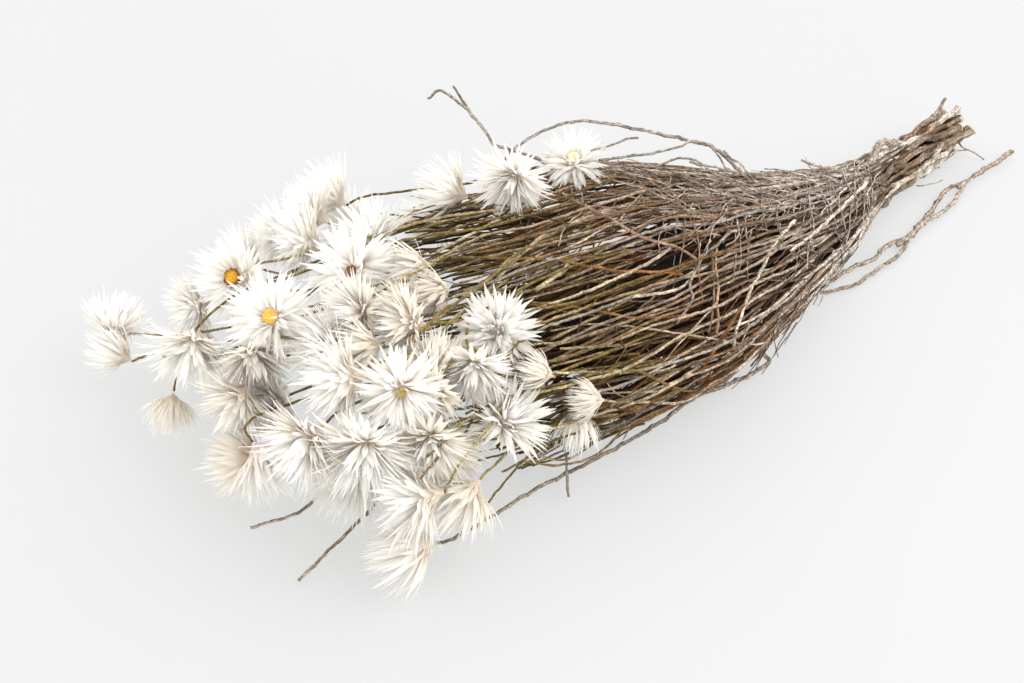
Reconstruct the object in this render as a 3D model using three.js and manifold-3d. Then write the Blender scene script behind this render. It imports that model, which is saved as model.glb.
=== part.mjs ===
// A bunch of dried cape flowers lying on a table: woody stems gathered at the cut ends,
// fanning out to papery white everlasting heads. Millimetres, +Z up, cut ends towards +X.

import * as THREE from 'three';
import { mergeVertices } from 'three/addons/utils/BufferGeometryUtils.js';
import Module from 'manifold-3d';

const wasm = await Module();
wasm.setup();

// Driving dimensions, in millimetres.
const MIDDLE = { x: 22.4, y: 4.2 };      // the layout's point that becomes the origin
const SEAT = 0.3;                        // clearance between pieces that rest on each other
const SOCKET = 0.48;                     // clearance round a branch where it leaves the bundle
const STEM_R = 1.5;                      // radius of a woody stem at the cut end
const TWIG_R = 1.1;                      // radius of a stem just below its head

// The packed middle of the bundle, in millimetres along X and as shares of the bundle's section.
const CUT_END = 266;                     // where the stems are cut
const CUT_RAGGED = 7;                    // how far the cut stems stand out or back from that
const PARTING = 160;                     // where the outer stems part from the packed middle
const PARTING_STRAY = 22;                // sooner or later by this
const CORE_OPENS = -25;                  // the middle draws in from here, as the stems part,
const CORE_END = -82;                    // down to its end among the heads
const CORE_TIP = 8;                      // and closes this far beyond
const CORE_THIN = 0.45;                  // how much of the section it fills at its end
const CORE_STATIONS = 9;
const CORE_SINK = 3;                     // how far it is pressed flat on the table,
const SINK_FROM = 190;                   // from nothing here
const SINK_TO = 120;                     // to the whole of it here
const FLUTES = 28;                       // stems shown as ridges on it
const CREST = 0.95;                      // how far out the ridges stand
const CREST_STRAY = 0.04;
const VALLEY = 0.85;                     // how far out the grooves between them lie
const FLUTE_STRAY = 0.25;                // how unevenly they are spaced, for their own width

// A head: its knob, its bracts and the yellow middle that an open one shows.
const KNOB_SHARE = 0.3;                  // radius of the knob for the reach of the bracts,
const KNOB_LEAST = 4.6;                  // and the least it may be
const KNOB_DOME = 1.05;                  // how far the bracts in the middle stand out of the knob
const FOOT = 2;                          // how far a head tapers behind its knob
const NECK = 5;                          // straight length of stem right under a head
const BIG_HEAD = 23.5;                   // heads that reach further than this have more bracts
const BRACT_ROOT = 2.2;                  // half the width of a bract where it leaves the knob
const BRACT_STEP = 0.7;                  // how finely a bract is tried for length,
const BRACT_LEAST = 0.6;                 // and how far it stands out of the knob at least
const TABLE_GAP = 0.4;                   // clearance from a bract to the table
const STEM_GAP = 0.5;                    // clearance from a bract to a stem
const CORE_GAP = 0.1;                    // clearance to the packed middle, for its section
const LEAN_STRAY = 0.07;                 // how far bracts stray from their ring, in radians
const TURN_STRAY = 0.2;                  // how unevenly they stand round it, for their spacing
const LENGTH_STRAY = 0.1;                // how unequal they are, for their length
const LAST_KEEL = 24;                    // angle from the last ring of tips back to the foot, degrees
const KEEL = 0.97;                       // how far out of the knob's middle the backs of bracts lie
const DISC_R = 4.6;                      // radius of the yellow middle, or less on a small knob
const DISC_ROOM = 0.5;                   // from the yellow middle to the edge of its seat
const DISC_RIM = 0.3;                    // and on from there to the bracts round it
const DISC_RINGS = [[0.9, 0], [0.9, 0.8], [0.5, 1.6]];  // its share of that radius, and height
const DISC_TOP = 1.7;
const DISC_SIDES = 10;

// How a stem runs out of the bundle to its head.
const SHOWS_OUT = 0.78;                  // a head further out than this has a stem that shows
const SHOWS_ABOVE = -0.2;                // ... and lies above this share of the section's height,
const SHOWS_IN_FRONT = -0.4;             // or in front of this share of its width
const SHOWN_BENDS = 4;                   // stretches of a stem that shows; one that hides is straight
const SIDE_STRAY = 0.035;                // how far each bend strays round the section, in radians,
const OUT_STRAY = 0.02;                  // and towards its surface, as a share
const INSIDE_CORE = 10;                  // a stem that hides leaves the middle from this far inside it
const SKIN_OUT = 1.03;                   // a stem that shows lies this far out in the section,
const ROOT_OUT = 0.82;                   // with its root sunk in by this share,
const INNER_OUT = 0.7;                   // and the others lie no further out than this
const LEAVES = 70;                       // how far before its head a stem leaves the bundle
const LEAVES_FIRST = -20;                // and the furthest back and
const LEAVES_LAST = -40;                 // the furthest on that one may
const BEND_START = 0.4;                  // how stiffly a stem leaves the bundle, for its free length
const BEND_END = 0.3;                    // and how stiffly it comes to its head,
const BEND_LONGEST = 18;                 // over this length at most
const BEND_PIECE = 32;                   // length of one straight piece of the bend
const STEER_ROUNDS = 12;                 // rounds of bending stems clear of the heads they pass
const STEER_PUSH = 1.2;
const STEER_GAP = 1;
const STEER_LIFT = 0.6;                  // clearance from such a stem to the table

// The bundle's outline, station by station: x, half width, half height, middle y, middle z.
const BUNDLE = [
  [276, 14, 12, 22, 17],
  [240, 13, 12, 19, 14],
  [200, 15, 13, 10, 14],
  [170, 21, 16, 2, 16],
  [140, 33, 21, -6, 20],
  [100, 46, 28, -11, 26],
  [60, 61, 36, -15, 34],
  [20, 76, 44, -17, 41],
  [-40, 81, 46, -16, 43],
  [-100, 86, 46, -8, 45],
  [-240, 96, 46, 10, 45],
];

// Every head: middle x, y, z, the way it faces as azimuth and elevation in degrees,
// the reach of its bracts, and how far it has opened.
const HEADS = [
  [-232, 89, 37, 27, 56, 19, 'brush'],
  [-236, 77, 29, 133, 25, 18, 'bud'],
  [-226, 29, 31, 231, -30, 16, 'bud'],
  [-210, 29, 63, 228, -32, 25, 'star'],
  [-177, 53, 72, 214, 45, 21, 'cup'],
  [-196, 64, 53, 176, -1, 19, 'star'],
  [-176, 8, 83, 230, 50, 22, 'open'],
  [-159, -19, 80, 163, 33, 24, 'star'],
  [-132, 13, 88, 228, 38, 24, 'open'],
  [-103, 107, 54, 131, 27, 22, 'brush'],
  [-123, 85, 66, 136, 22, 22, 'star'],
  [-111, 40, 79, 128, 62, 22, 'star'],
  [-138, 58, 74, 149, 13, 22, 'star'],
  [-60, 51, 79, 137, 13, 22, 'brush'],
  [-38, 28, 94, 217, -2, 21, 'star'],
  [0, 31, 89, 221, 74, 18, 'open'],
  [-107, -2, 90, 176, -1, 18, 'brush'],
  [-107, -24, 93, 176, -1, 15, 'brush'],
  [-126, -28, 95, 165, 1, 16, 'brush'],
  [-93, -53, 85, 228, 42, 20, 'star'],
  [-113, -69, 86, 236, -15, 19, 'star'],
  [-106, -86, 65, 324, 52, 21, 'star'],
  [-69, -96, 67, 150, 0, 12, 'bud'],
  [-71, -88, 46, 229, -44, 17, 'bud'],
  [-86, -80, 79, 143, 15, 12, 'bud'],
  [-168, -55, 96, 156, -2, 23, 'star'],
  [-150, -72, 95, 243, 24, 20, 'open'],
  [-192, -65, 79, 196, -15, 24, 'star'],
  [-173, -81, 78, 234, -8, 24, 'star'],
  [-146, -89, 76, 236, -4, 18, 'star'],
  [-135, -72, 86, 208, 0, 17, 'star'],
  [-202, -9, 58, 199, -30, 22, 'star'],
  [-208, -21, 32, 149, 1, 22, 'brush'],
  [-205, -41, 51, 283, -33, 22, 'brush'],
  [-156, -98, 55, 159, -5, 26, 'star'],
  [-134, -99, 43, 194, -31, 22, 'brush'],
  [-160, -97, 21, 159, -5, 26, 'brush'],
  [-57, 81, 40, 211, -44, 21, 'star'],
  [-190, 1, 71, 257, -32, 20, 'star'],
  [-145, -20, 95, 181, 22, 19, 'star'],
  [-131, -42, 99, 163, 12, 20, 'star'],
  [-151, -42, 95, 165, -6, 17, 'brush'],
  [-128, -61, 90, 40, 61, 16, 'brush'],
  [-134, -78, 55, 301, -29, 22, 'brush'],
  [-94, 104, 30, 120, 0, 22, 'star'],
  [-132, 110, 38, 130, 10, 22, 'star'],
  [-165, 92, 26, 150, 0, 22, 'star'],
  [-196, 66, 24, 160, -5, 22, 'star'],
  [-163, 80, 54, 150, 25, 22, 'star'],
  [-186, -6, 45, 189, 9, 21, 'star'],
  [-172, -58, 34, 215, -10, 22, 'brush'],
];

// How a head opens: bracts in each ring of a small or a big head, the angle of each ring of tips
// from the head's axis in degrees, and how long each ring's bracts are for the head's reach.
const HABITS = {
  open: { few: 10, many: 11, tips: [44, 64, 86, 106], length: [0.72, 0.88, 1, 0.95] },
  cup: { few: 9, many: 10, tips: [44, 58, 74], length: [0.8, 0.95, 1] },
  star: { few: 9, many: 11, tips: [20, 44, 68, 94], length: [0.9, 1, 1, 0.92] },
  brush: { few: 9, many: 9, tips: [12, 34, 58], length: [1, 0.95, 0.8] },
  bud: { few: 8, many: 9, tips: [8, 26, 46], length: [1, 0.96, 0.85] },
};
const OPENED = ['open', 'cup'];          // the habits that show a yellow middle

// Colours of the open heads' middles, in the order of the open heads above.
const DISC_COLOURS = ['#d9900c', '#efc24a', '#b98a3a', '#efe2b4', '#a8a05a'];

// Bare twigs that stand clear of the bundle, each a list of points and its radius.
const TWIGS = [
  { radius: 1.3, points: [[236, 20, 18], [250, 27, 23], [256, 28, 28], [264, 31, 34]] },
  { radius: 2.2, points: [[184, 8, 22], [193, 12, 30], [202, 17, 33], [212, 16, 30], [226, 18, 22]] },
  { radius: 1.0, points: [[176, 4, 24], [160, 6, 37], [149, 9, 42], [142, 17, 44]] },
  { radius: 1.1, points: [[-30, -50, 40], [-62, -70, 36], [-71, -80, 26], [-75, -88, 14], [-78, -95, 3]] },
  { radius: 1.2, points: [[-30, -46, 24], [-110, -50, 16], [-150, -56, 13], [-180, -66, 9], [-209, -75, 3]] },
  { radius: 1.1,
    points: [[-40, -20, 20], [-120, -30, 17], [-165, -38, 18], [-195, -52, 20], [-219, -48, 18]] },
];

// Stems that lie apart from the bundle, each rooted in it at its first point.
const FORK_STEM = [[60, -34, 12], [92, -41, 6], [110, -43, 5], [127, -40, 6], [142, -37, 5],
  [158, -37, 5], [172, -32, 5], [186, -32, 4], [206, -22, 4], [219, -19, 4], [234, -15, 4],
  [251, -9, 4], [271, -5, 4], [296, -2, 4]];
const FORK_LOOP = [[110, -43, 5], [124, -45, 3], [137, -47, 3], [153, -44, 3], [177, -39, 3], [188, -31, 4]];
const ARCH_STEM = [[104, 7, 45], [92, 12, 61], [80, 16, 75], [66, 17, 85],
  [14, 38, 104], [-7, 49, 99], [-16, 50, 96], [-25, 51, 92], [-32, 48, 88]];
const ARCH_CROSSING = [[-46, 102, 100], [-40, 98, 105], [-35, 80, 103], [-34, 63, 100],
  [-33, 54, 97], [-25, 51, 92], [-17, 48, 88], [-10, 40, 84], [0, 20, 76]];
const ARCH_TIP = [[-34, 72, 101], [-34, 86, 104], [-33, 97, 106]];
const LOW_STEM = [[38, -50, 22], [47, -63, 15], [57, -73, 8], [44, -76, 7], [26, -76, 7], [8, -75, 7],
  [-12, -79, 6], [-36, -82, 6], [-64, -84, 6], [-92, -86, 7], [-118, -91, 9]];
const LOW_HEAD = 37;                     // the head that the low stem carries
const BRANCHES = [
  { name: 'branch_forked', sides: 5, parts: [
    { line: FORK_STEM, radii: [1.5, 2.1] },
    { line: FORK_LOOP, radii: [1.3, 1.5] },
  ] },
  { name: 'branch_arching', sides: 4, parts: [
    { line: ARCH_STEM, radii: [1.5, 0.9] },
    { line: ARCH_CROSSING, radii: [0.8, 1.1] },
    { line: ARCH_TIP, radii: [0.9, 0.8] },
  ] },
  { name: 'branch_low', sides: 4, parts: [{ line: LOW_STEM, radii: [1.5, 1.2], head: LOW_HEAD }] },
];

const UP = new THREE.Vector3(0, 0, 1);

// A repeatable draw between 0 and 1 for a whole number.
function draw(n) {
  const s = Math.sin(n * 12.9898 + 4.1414) * 43758.5453;
  return s - Math.floor(s);
}

function spread(n, amount) {
  return (draw(n) * 2 - 1) * amount;
}

function mix(a, b, t) {
  return a + (b - a) * t;
}

// The bundle's section at x, between the two nearest stations.
function section(x) {
  let i = 0;
  while (i < BUNDLE.length - 2 && x < BUNDLE[i + 1][0]) i += 1;
  const [x0, a0, b0, y0, z0] = BUNDLE[i];
  const [x1, a1, b1, y1, z1] = BUNDLE[i + 1];
  const t = THREE.MathUtils.clamp((x0 - x) / (x0 - x1), 0, 1);
  return { a: mix(a0, a1, t), b: mix(b0, b1, t), y: mix(y0, y1, t), z: mix(z0, z1, t) };
}

// A place in the bundle: u runs across and v up, both 1 at its surface.
function flow(x, u, v) {
  const s = section(x);
  return new THREE.Vector3(x, s.y + s.a * u, s.z + s.b * v);
}

// How far out of the bundle's middle a point lies: 1 at the surface.
function depth(p) {
  const s = section(p.x);
  return Math.hypot((p.y - s.y) / s.a, (p.z - s.z) / s.b);
}

// How much of the bundle the packed middle fills at x.
function coreFill(x) {
  return mix(1, CORE_THIN, THREE.MathUtils.smoothstep(-x, -CORE_OPENS, -CORE_END));
}

// Triangles between rings of points, closed by a pole at each end, facing out.
function skin(rings, first, last) {
  const points = [first, ...rings.flat(), last];
  const m = rings[0].length;
  const at = (ring, j) => 1 + ring * m + (j % m);
  const index = [];
  for (let j = 0; j < m; j += 1) {
    index.push(0, at(0, j), at(0, j + 1));
    for (let r = 0; r < rings.length - 1; r += 1) {
      index.push(at(r, j), at(r + 1, j), at(r + 1, j + 1), at(r, j), at(r + 1, j + 1), at(r, j + 1));
    }
    index.push(at(rings.length - 1, j), points.length - 1, at(rings.length - 1, j + 1));
  }
  return facingOut(points, index);
}

function facingOut(points, index) {
  let volume = 0;
  const cross = new THREE.Vector3();
  for (let i = 0; i < index.length; i += 3) {
    cross.crossVectors(points[index[i + 1]], points[index[i + 2]]);
    volume += points[index[i]].dot(cross);
  }
  const order = volume < 0 ? index.slice().reverse() : index;
  const geometry = new THREE.BufferGeometry();
  geometry.setAttribute('position', new THREE.Float32BufferAttribute(points.flatMap((p) => p.toArray()), 3));
  geometry.setIndex(order);
  return geometry;
}

function solid(geometry) {
  const bare = geometry.clone();
  bare.deleteAttribute('normal');
  bare.deleteAttribute('uv');
  const merged = mergeVertices(bare, 1e-4);
  return new wasm.Manifold(new wasm.Mesh({
    numProp: 3,
    vertProperties: new Float32Array(merged.attributes.position.array),
    triVerts: new Uint32Array(merged.index.array),
  }));
}

function geometryOf(manifold) {
  const mesh = manifold.getMesh();
  const geometry = new THREE.BufferGeometry();
  geometry.setAttribute('position', new THREE.Float32BufferAttribute(mesh.vertProperties, 3));
  geometry.setIndex(Array.from(mesh.triVerts));
  return geometry;
}

// A round stem of a few sides along points, its radius running from r0 to r1.
function tube(points, r0, r1, sides, turn) {
  const rings = points.map((p, i) => {
    const before = points[Math.max(i - 1, 0)];
    const after = points[Math.min(i + 1, points.length - 1)];
    const along = after.clone().sub(before).normalize();
    const side = new THREE.Vector3().crossVectors(UP, along);
    if (side.lengthSq() < 0.01) side.set(1, 0, 0);
    side.normalize();
    const over = new THREE.Vector3().crossVectors(along, side);
    const r = mix(r0, r1, i / (points.length - 1));
    return Array.from({ length: sides }, (_, j) => {
      const angle = turn + (j / sides) * Math.PI * 2;
      return p.clone().addScaledVector(side, Math.cos(angle) * r).addScaledVector(over, Math.sin(angle) * r);
    });
  });
  return skin(rings, points[0].clone(), points[points.length - 1].clone());
}

// The middle of the bundle, packed solid, its surface raised into stems side by side.
function core() {
  const rings = [];
  for (let i = 0; i < CORE_STATIONS; i += 1) {
    const t = i / (CORE_STATIONS - 1);
    const x = mix(CUT_END, CORE_END, t);
    const s = section(x);
    const fill = coreFill(x);
    const sink = CORE_SINK * THREE.MathUtils.smoothstep(-x, -SINK_FROM, -SINK_TO);
    const ring = [];
    for (let j = 0; j < FLUTES * 2; j += 1) {
      const crest = j % 2 === 0;
      const wander = spread(j * 31 + i * 7, FLUTE_STRAY);
      const angle = ((j + wander) / (FLUTES * 2)) * Math.PI * 2;
      const reach = fill * (crest ? CREST + spread(j * 13 + i, CREST_STRAY) : VALLEY);
      const ragged = i === 0 ? spread(j * 17, CUT_RAGGED) : 0;
      ring.push(new THREE.Vector3(x + ragged, s.y + s.a * reach * Math.cos(angle),
        s.z - sink + s.b * reach * Math.sin(angle)));
    }
    rings.push(ring);
  }
  const start = flow(CUT_END - CUT_RAGGED, 0, 0);
  const end = flow(CORE_END - CORE_TIP, 0, 0);
  return skin(rings, start, end);
}

// A head's own frame: its middle, its axis and two directions across it.
function frameOf(head) {
  const [x, y, z, azimuth, elevation, reach, habit] = head;
  const a = THREE.MathUtils.degToRad(azimuth);
  const e = THREE.MathUtils.degToRad(elevation);
  const axis = new THREE.Vector3(Math.cos(a) * Math.cos(e), Math.sin(a) * Math.cos(e), Math.sin(e));
  const across = new THREE.Vector3(-Math.sin(a), Math.cos(a), 0);
  const over = new THREE.Vector3().crossVectors(axis, across);
  const knob = Math.max(reach * KNOB_SHARE, KNOB_LEAST);
  return { middle: new THREE.Vector3(x, y, z), axis, across, over, reach, habit, knob };
}

function towards(head, polar, around) {
  return head.axis.clone().multiplyScalar(Math.cos(polar))
    .addScaledVector(head.across, Math.sin(polar) * Math.cos(around))
    .addScaledVector(head.over, Math.sin(polar) * Math.sin(around));
}

// Planes that part a head from its neighbours, so that no two heads cross.
function partings(heads, i) {
  const own = heads[i];
  const planes = [];
  heads.forEach((other, j) => {
    const across = other.middle.clone().sub(own.middle);
    const gap = across.length();
    if (i === j || gap > own.reach + other.reach + FOOT) return;
    const even = 0.5 * (gap + (own.reach ** 2 - other.reach ** 2) / gap);
    const at = THREE.MathUtils.clamp(even, own.knob + SEAT, gap - other.knob - SEAT);
    planes.push({ normal: across.divideScalar(gap), at: at - SEAT / 2 });
  });
  return planes;
}

// Where along the segment from a to b lies closest to p, from 0 to 1.
function alongSegment(p, a, b) {
  const ab = b.clone().sub(a);
  return THREE.MathUtils.clamp(p.clone().sub(a).dot(ab) / ab.lengthSq(), 0, 1);
}

function distanceToSegment(p, a, b) {
  return p.distanceTo(a.clone().lerp(b, alongSegment(p, a, b)));
}

// How long a bract can be that way before it meets a neighbour, a stem, the bundle or the table.
function bractLength(head, planes, segments, direction, wanted) {
  let longest = wanted;
  for (const plane of planes) {
    const rise = direction.dot(plane.normal);
    if (rise > 0.01) longest = Math.min(longest, plane.at / rise);
  }
  const shortest = head.knob + BRACT_LEAST;
  for (let length = head.knob; length < longest; length += BRACT_STEP) {
    const p = head.middle.clone().addScaledVector(direction, length);
    const thick = BRACT_ROOT * (1 - (length - head.knob) / (wanted - head.knob));
    const onTable = p.z < thick + TABLE_GAP;
    const inBundle = p.x > CORE_END - CORE_TIP && depth(p) < coreFill(p.x) + CORE_GAP;
    const onStem = segments.some((s) => distanceToSegment(p, s.a, s.b) < s.radius + thick + STEM_GAP);
    if (onTable || inBundle || onStem) return Math.max(shortest, length - 1);
  }
  return Math.max(shortest, longest);
}

// The radius of an open head's yellow middle, which its knob must have room for.
function discRadius(head) {
  const first = THREE.MathUtils.degToRad(HABITS[head.habit].tips[0]);
  return Math.min(DISC_R, Math.sin(first) * head.knob - DISC_ROOM - DISC_RIM);
}

// One head: rings of pointed bracts round a small knob, as one closed surface.
function bloom(head, planes, segments, seed) {
  const { tips, length, few, many } = HABITS[head.habit];
  const count = head.reach > BIG_HEAD ? many : few;
  const open = OPENED.includes(head.habit);
  const points = [];
  const index = [];
  const step = (Math.PI * 2) / count;
  const rad = THREE.MathUtils.degToRad;
  const put = (direction, distance) => {
    points.push(head.middle.clone().addScaledVector(direction, distance));
    return points.length - 1;
  };
  const flat = Math.cos(rad(tips[0])) * head.knob;
  const pole = put(head.axis, open ? flat : head.knob * KNOB_DOME);
  let above = null;
  if (open) {
    const seat = discRadius(head) + DISC_ROOM;
    above = Array.from({ length: count }, (_, j) => {
      const rim = towards(head, Math.PI / 2, (j - 0.5) * step).multiplyScalar(seat);
      return put(rim.addScaledVector(head.axis, flat), 1);
    });
    above.forEach((v, j) => index.push(pole, v, above[(j + 1) % count]));
  }
  tips.forEach((tipAngle, layer) => {
    const off = layer * 0.5;
    const polar = rad(tipAngle);
    const next = tips[layer + 1];
    const under = rad(next === undefined ? tipAngle + LAST_KEEL : (tipAngle + next) / 2);
    const tip = [];
    const valley = [];
    const keel = [];
    for (let j = 0; j < count; j += 1) {
      const n = seed * 97 + layer * 23 + j;
      const around = (j + off) * step;
      const lean = spread(n + 0.3, LEAN_STRAY);
      const turn = spread(n + 0.6, TURN_STRAY) * step;
      const out = towards(head, polar + lean, around + turn);
      const wanted = head.reach * length[layer] * (1 + spread(n, LENGTH_STRAY));
      tip.push(put(out, bractLength(head, planes, segments, out, wanted)));
      valley.push(put(towards(head, polar, around + step / 2), head.knob));
      keel.push(put(towards(head, under, around), head.knob * KEEL));
    }
    for (let j = 0; j < count; j += 1) {
      const k = (j + 1) % count;
      const h = (j + count - 1) % count;
      if (above) {
        index.push(above[j], valley[h], tip[j], above[j], tip[j], above[k], above[k], tip[j], valley[j]);
      } else {
        index.push(pole, tip[j], valley[j], pole, valley[j], tip[k]);
      }
      index.push(tip[j], keel[j], valley[j], valley[j], keel[j], keel[k], valley[j], keel[k], tip[k]);
    }
    above = keel;
  });
  const foot = put(head.axis, -(head.knob + FOOT));
  above.forEach((v, j) => index.push(v, foot, above[(j + 1) % count]));
  return facingOut(points, index);
}

// The yellow middle of an open head, a low dome sitting just clear of the knob.
function disc(head) {
  const radius = discRadius(head);
  const base = Math.cos(THREE.MathUtils.degToRad(HABITS[head.habit].tips[0])) * head.knob + SEAT;
  const on = (p, height) => p.add(head.middle).addScaledVector(head.axis, base + height);
  const rings = DISC_RINGS.map(([share, height]) => Array.from({ length: DISC_SIDES }, (_, j) => {
    const around = (j / DISC_SIDES) * Math.PI * 2;
    return on(towards(head, Math.PI / 2, around).multiplyScalar(radius * share), height);
  }));
  return skin(rings, on(new THREE.Vector3(), 0), on(new THREE.Vector3(), DISC_TOP));
}

// Bends a stem round the knobs of the heads that it passes.
function steer(points, heads, own) {
  const last = points.length - 1;
  for (let round = 0; round < STEER_ROUNDS; round += 1) {
    for (let i = 0; i < last; i += 1) {
      const from = points[i];
      const to = points[i + 1];
      heads.forEach((head, j) => {
        if (j === own) return;
        const t = alongSegment(head.middle, from, to);
        const away = from.clone().lerp(to, t).sub(head.middle);
        const near = away.length();
        const push = head.knob + STEM_R + STEER_GAP - near;
        if (push <= 0) return;
        away.divideScalar(near);
        if (i > 0) from.addScaledVector(away, push * (1 - t) * STEER_PUSH);
        if (i + 1 < last) to.addScaledVector(away, push * t * STEER_PUSH);
      });
      if (i > 0) from.z = Math.max(from.z, TWIG_R + STEER_LIFT);
    }
  }
  return points;
}

// Where a head's stem ends, and where it turns to face the same way as the head.
function footOf(head) {
  return head.middle.clone().addScaledVector(head.axis, -(head.knob + FOOT + SEAT));
}

function neckOf(head) {
  return footOf(head).addScaledVector(head.axis, -NECK);
}

// The stem of one head: from inside the bundle, or along its surface if it shows, to its foot.
function headStem(head, i, heads) {
  const foot = footOf(head);
  const s = section(Math.max(foot.x, CORE_END - CORE_TIP));
  let u = (foot.y - s.y) / s.a;
  let v = (foot.z - s.z) / s.b;
  const out = Math.hypot(u, v);
  const shows = out > SHOWS_OUT && (v > SHOWS_ABOVE || u < SHOWS_IN_FRONT);
  const rest = (shows ? SKIN_OUT : Math.min(out, INNER_OUT)) / Math.max(out, 1e-6);
  u *= rest;
  v *= rest;
  const leave = Math.max(Math.min(LEAVES_FIRST, foot.x + LEAVES), LEAVES_LAST);
  const start = shows ? PARTING + spread(i + 0.2, PARTING_STRAY) : CORE_OPENS + INSIDE_CORE;
  const points = [];
  const reaches = shows ? SHOWN_BENDS : 1;
  for (let k = 0; k <= reaches; k += 1) {
    const x = mix(start, leave, k / reaches);
    const turn = shows ? spread(i * 5 + k, SIDE_STRAY) : 0;
    const angle = Math.atan2(v, u) + turn;
    const rooted = shows && k === 0 ? ROOT_OUT : 1;
    const r = Math.hypot(u, v) * rooted * (1 + (shows ? spread(i * 9 + k, OUT_STRAY) : 0));
    const p = flow(x, r * Math.cos(angle), r * Math.sin(angle));
    p.z = Math.max(p.z, STEM_R);
    points.push(p);
  }
  const from = points[points.length - 1];
  const tangent = flow(from.x - 10, u, v).sub(flow(from.x, u, v)).normalize();
  const neck = neckOf(head);
  const span = from.distanceTo(neck);
  const bend = new THREE.CubicBezierCurve3(
    from,
    from.clone().addScaledVector(tangent, span * BEND_START),
    neck.clone().addScaledVector(head.axis, -Math.min(span * BEND_END, BEND_LONGEST)),
    neck,
  );
  const pieces = Math.max(2, Math.round(span / BEND_PIECE));
  points.push(...bend.getPoints(pieces).slice(1), foot);
  return steer(points, heads, i);
}

function vectors(list) {
  return list.map((p) => new THREE.Vector3(...p));
}

function segmentsOf(points, r0, r1) {
  return points.slice(1).map((b, i) => ({ a: points[i], b, radius: mix(r0, r1, i / points.length) }));
}

const heads = HEADS.map(frameOf);
const stems = [];
heads.forEach((head, i) => {
  if (i + 1 === LOW_HEAD) return;
  stems.push({ points: headStem(head, i, heads), r0: STEM_R, r1: TWIG_R, sides: 3 });
});
TWIGS.forEach((twig, i) => {
  const points = steer(vectors(twig.points), heads, -1 - i);
  stems.push({ points, r0: twig.radius * 1.1, r1: twig.radius * 0.8, sides: 4 });
});
const apart = BRANCHES.map(({ name, sides, parts }) => ({
  name,
  parts: parts.map(({ line, radii: [r0, r1], head }) => {
    const carried = head ? heads[head - 1] : null;
    const end = carried ? [neckOf(carried), footOf(carried)] : [];
    return { points: [...vectors(line), ...end], r0, r1, sides };
  }),
}));
const everyStem = [...stems, ...apart.flatMap((branch) => branch.parts)];
const segments = everyStem.flatMap((stem) => segmentsOf(stem.points, stem.r0, stem.r1));

function stemSolid(stem, grow, turn) {
  return solid(tube(stem.points, stem.r0 + grow, stem.r1 + grow, stem.sides, turn));
}

// Of a solid that a cut has left in several scraps, the largest.
function largest(manifold) {
  return manifold.decompose().reduce((best, piece) => (piece.volume() > best.volume() ? piece : best));
}

const table = new THREE.BoxGeometry(900, 600, 40).translate(0, 0, -20);
const tableSolid = solid(table);
const sockets = apart.flatMap((branch) => branch.parts).map((stem) => stemSolid(stem, SOCKET, 0));

const group = new THREE.Group();

function place(name, geometry, colour, roughness) {
  const material = new THREE.MeshStandardMaterial({ color: colour, roughness, metalness: 0 });
  const mesh = new THREE.Mesh(geometry, material);
  mesh.name = name;
  mesh.position.set(-MIDDLE.x, -MIDDLE.y, 0);
  group.add(mesh);
}

let bundle = solid(core());
stems.forEach((stem, i) => {
  bundle = bundle.add(stemSolid(stem, 0, i));
});
sockets.forEach((socket) => {
  bundle = bundle.subtract(socket);
});
bundle = largest(bundle.subtract(tableSolid));
place('stems_bundle', geometryOf(bundle), '#8a735e', 0.85);

apart.forEach((branch) => {
  const joined = branch.parts.map((stem) => stemSolid(stem, 0, 0)).reduce((a, b) => a.add(b));
  place(branch.name, geometryOf(largest(joined.subtract(tableSolid))), '#93816f', 0.85);
});

let opened = 0;
heads.forEach((head, i) => {
  const label = String(i + 1).padStart(2, '0');
  place(`head_${label}`, bloom(head, partings(heads, i), segments, i + 1), '#f3efe6', 0.7);
  if (OPENED.includes(head.habit)) {
    place(`disc_${label}`, disc(head), DISC_COLOURS[opened], 0.8);
    opened += 1;
  }
});

export default group;
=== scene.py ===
# %% [markdown]
# # A bunch of dried cape flowers
#
# The object is a loose bunch of everlastings: some thirty woody branches, cut at one end, that
# fork again and again into hundreds of thin stems, and at the far end of the stems the papery
# white heads. The imported frame holds each head, the bundle of stems and three stray branches as
# plain solids. Here each solid is replaced by what the eye expects to see up close, on the same
# spot and at the same size.
#
# The first cell loads the frame.

# %% Load the frame
import math

import bpy
import numpy as np
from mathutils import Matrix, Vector


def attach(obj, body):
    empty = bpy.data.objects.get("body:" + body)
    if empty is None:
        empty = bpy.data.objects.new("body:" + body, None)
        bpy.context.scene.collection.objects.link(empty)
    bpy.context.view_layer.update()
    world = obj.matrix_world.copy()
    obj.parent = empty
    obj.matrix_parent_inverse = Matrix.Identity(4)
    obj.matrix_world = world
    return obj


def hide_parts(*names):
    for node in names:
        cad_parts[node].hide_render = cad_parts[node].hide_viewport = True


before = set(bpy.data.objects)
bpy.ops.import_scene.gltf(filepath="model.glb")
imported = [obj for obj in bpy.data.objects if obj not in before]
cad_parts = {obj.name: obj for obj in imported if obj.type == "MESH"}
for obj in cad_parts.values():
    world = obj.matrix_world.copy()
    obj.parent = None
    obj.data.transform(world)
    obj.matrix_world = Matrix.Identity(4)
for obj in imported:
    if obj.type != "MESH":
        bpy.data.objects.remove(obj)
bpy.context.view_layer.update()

# %% [markdown]
# ## Camera
#
# The picture looks down on the bunch from the front left, half way between level and straight
# down. A camera is easiest to set by what it looks at, the angle it looks from and its distance,
# because those are the things that one reads off a picture. A 50 mm lens keeps the perspective of
# a table-top picture.

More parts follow.
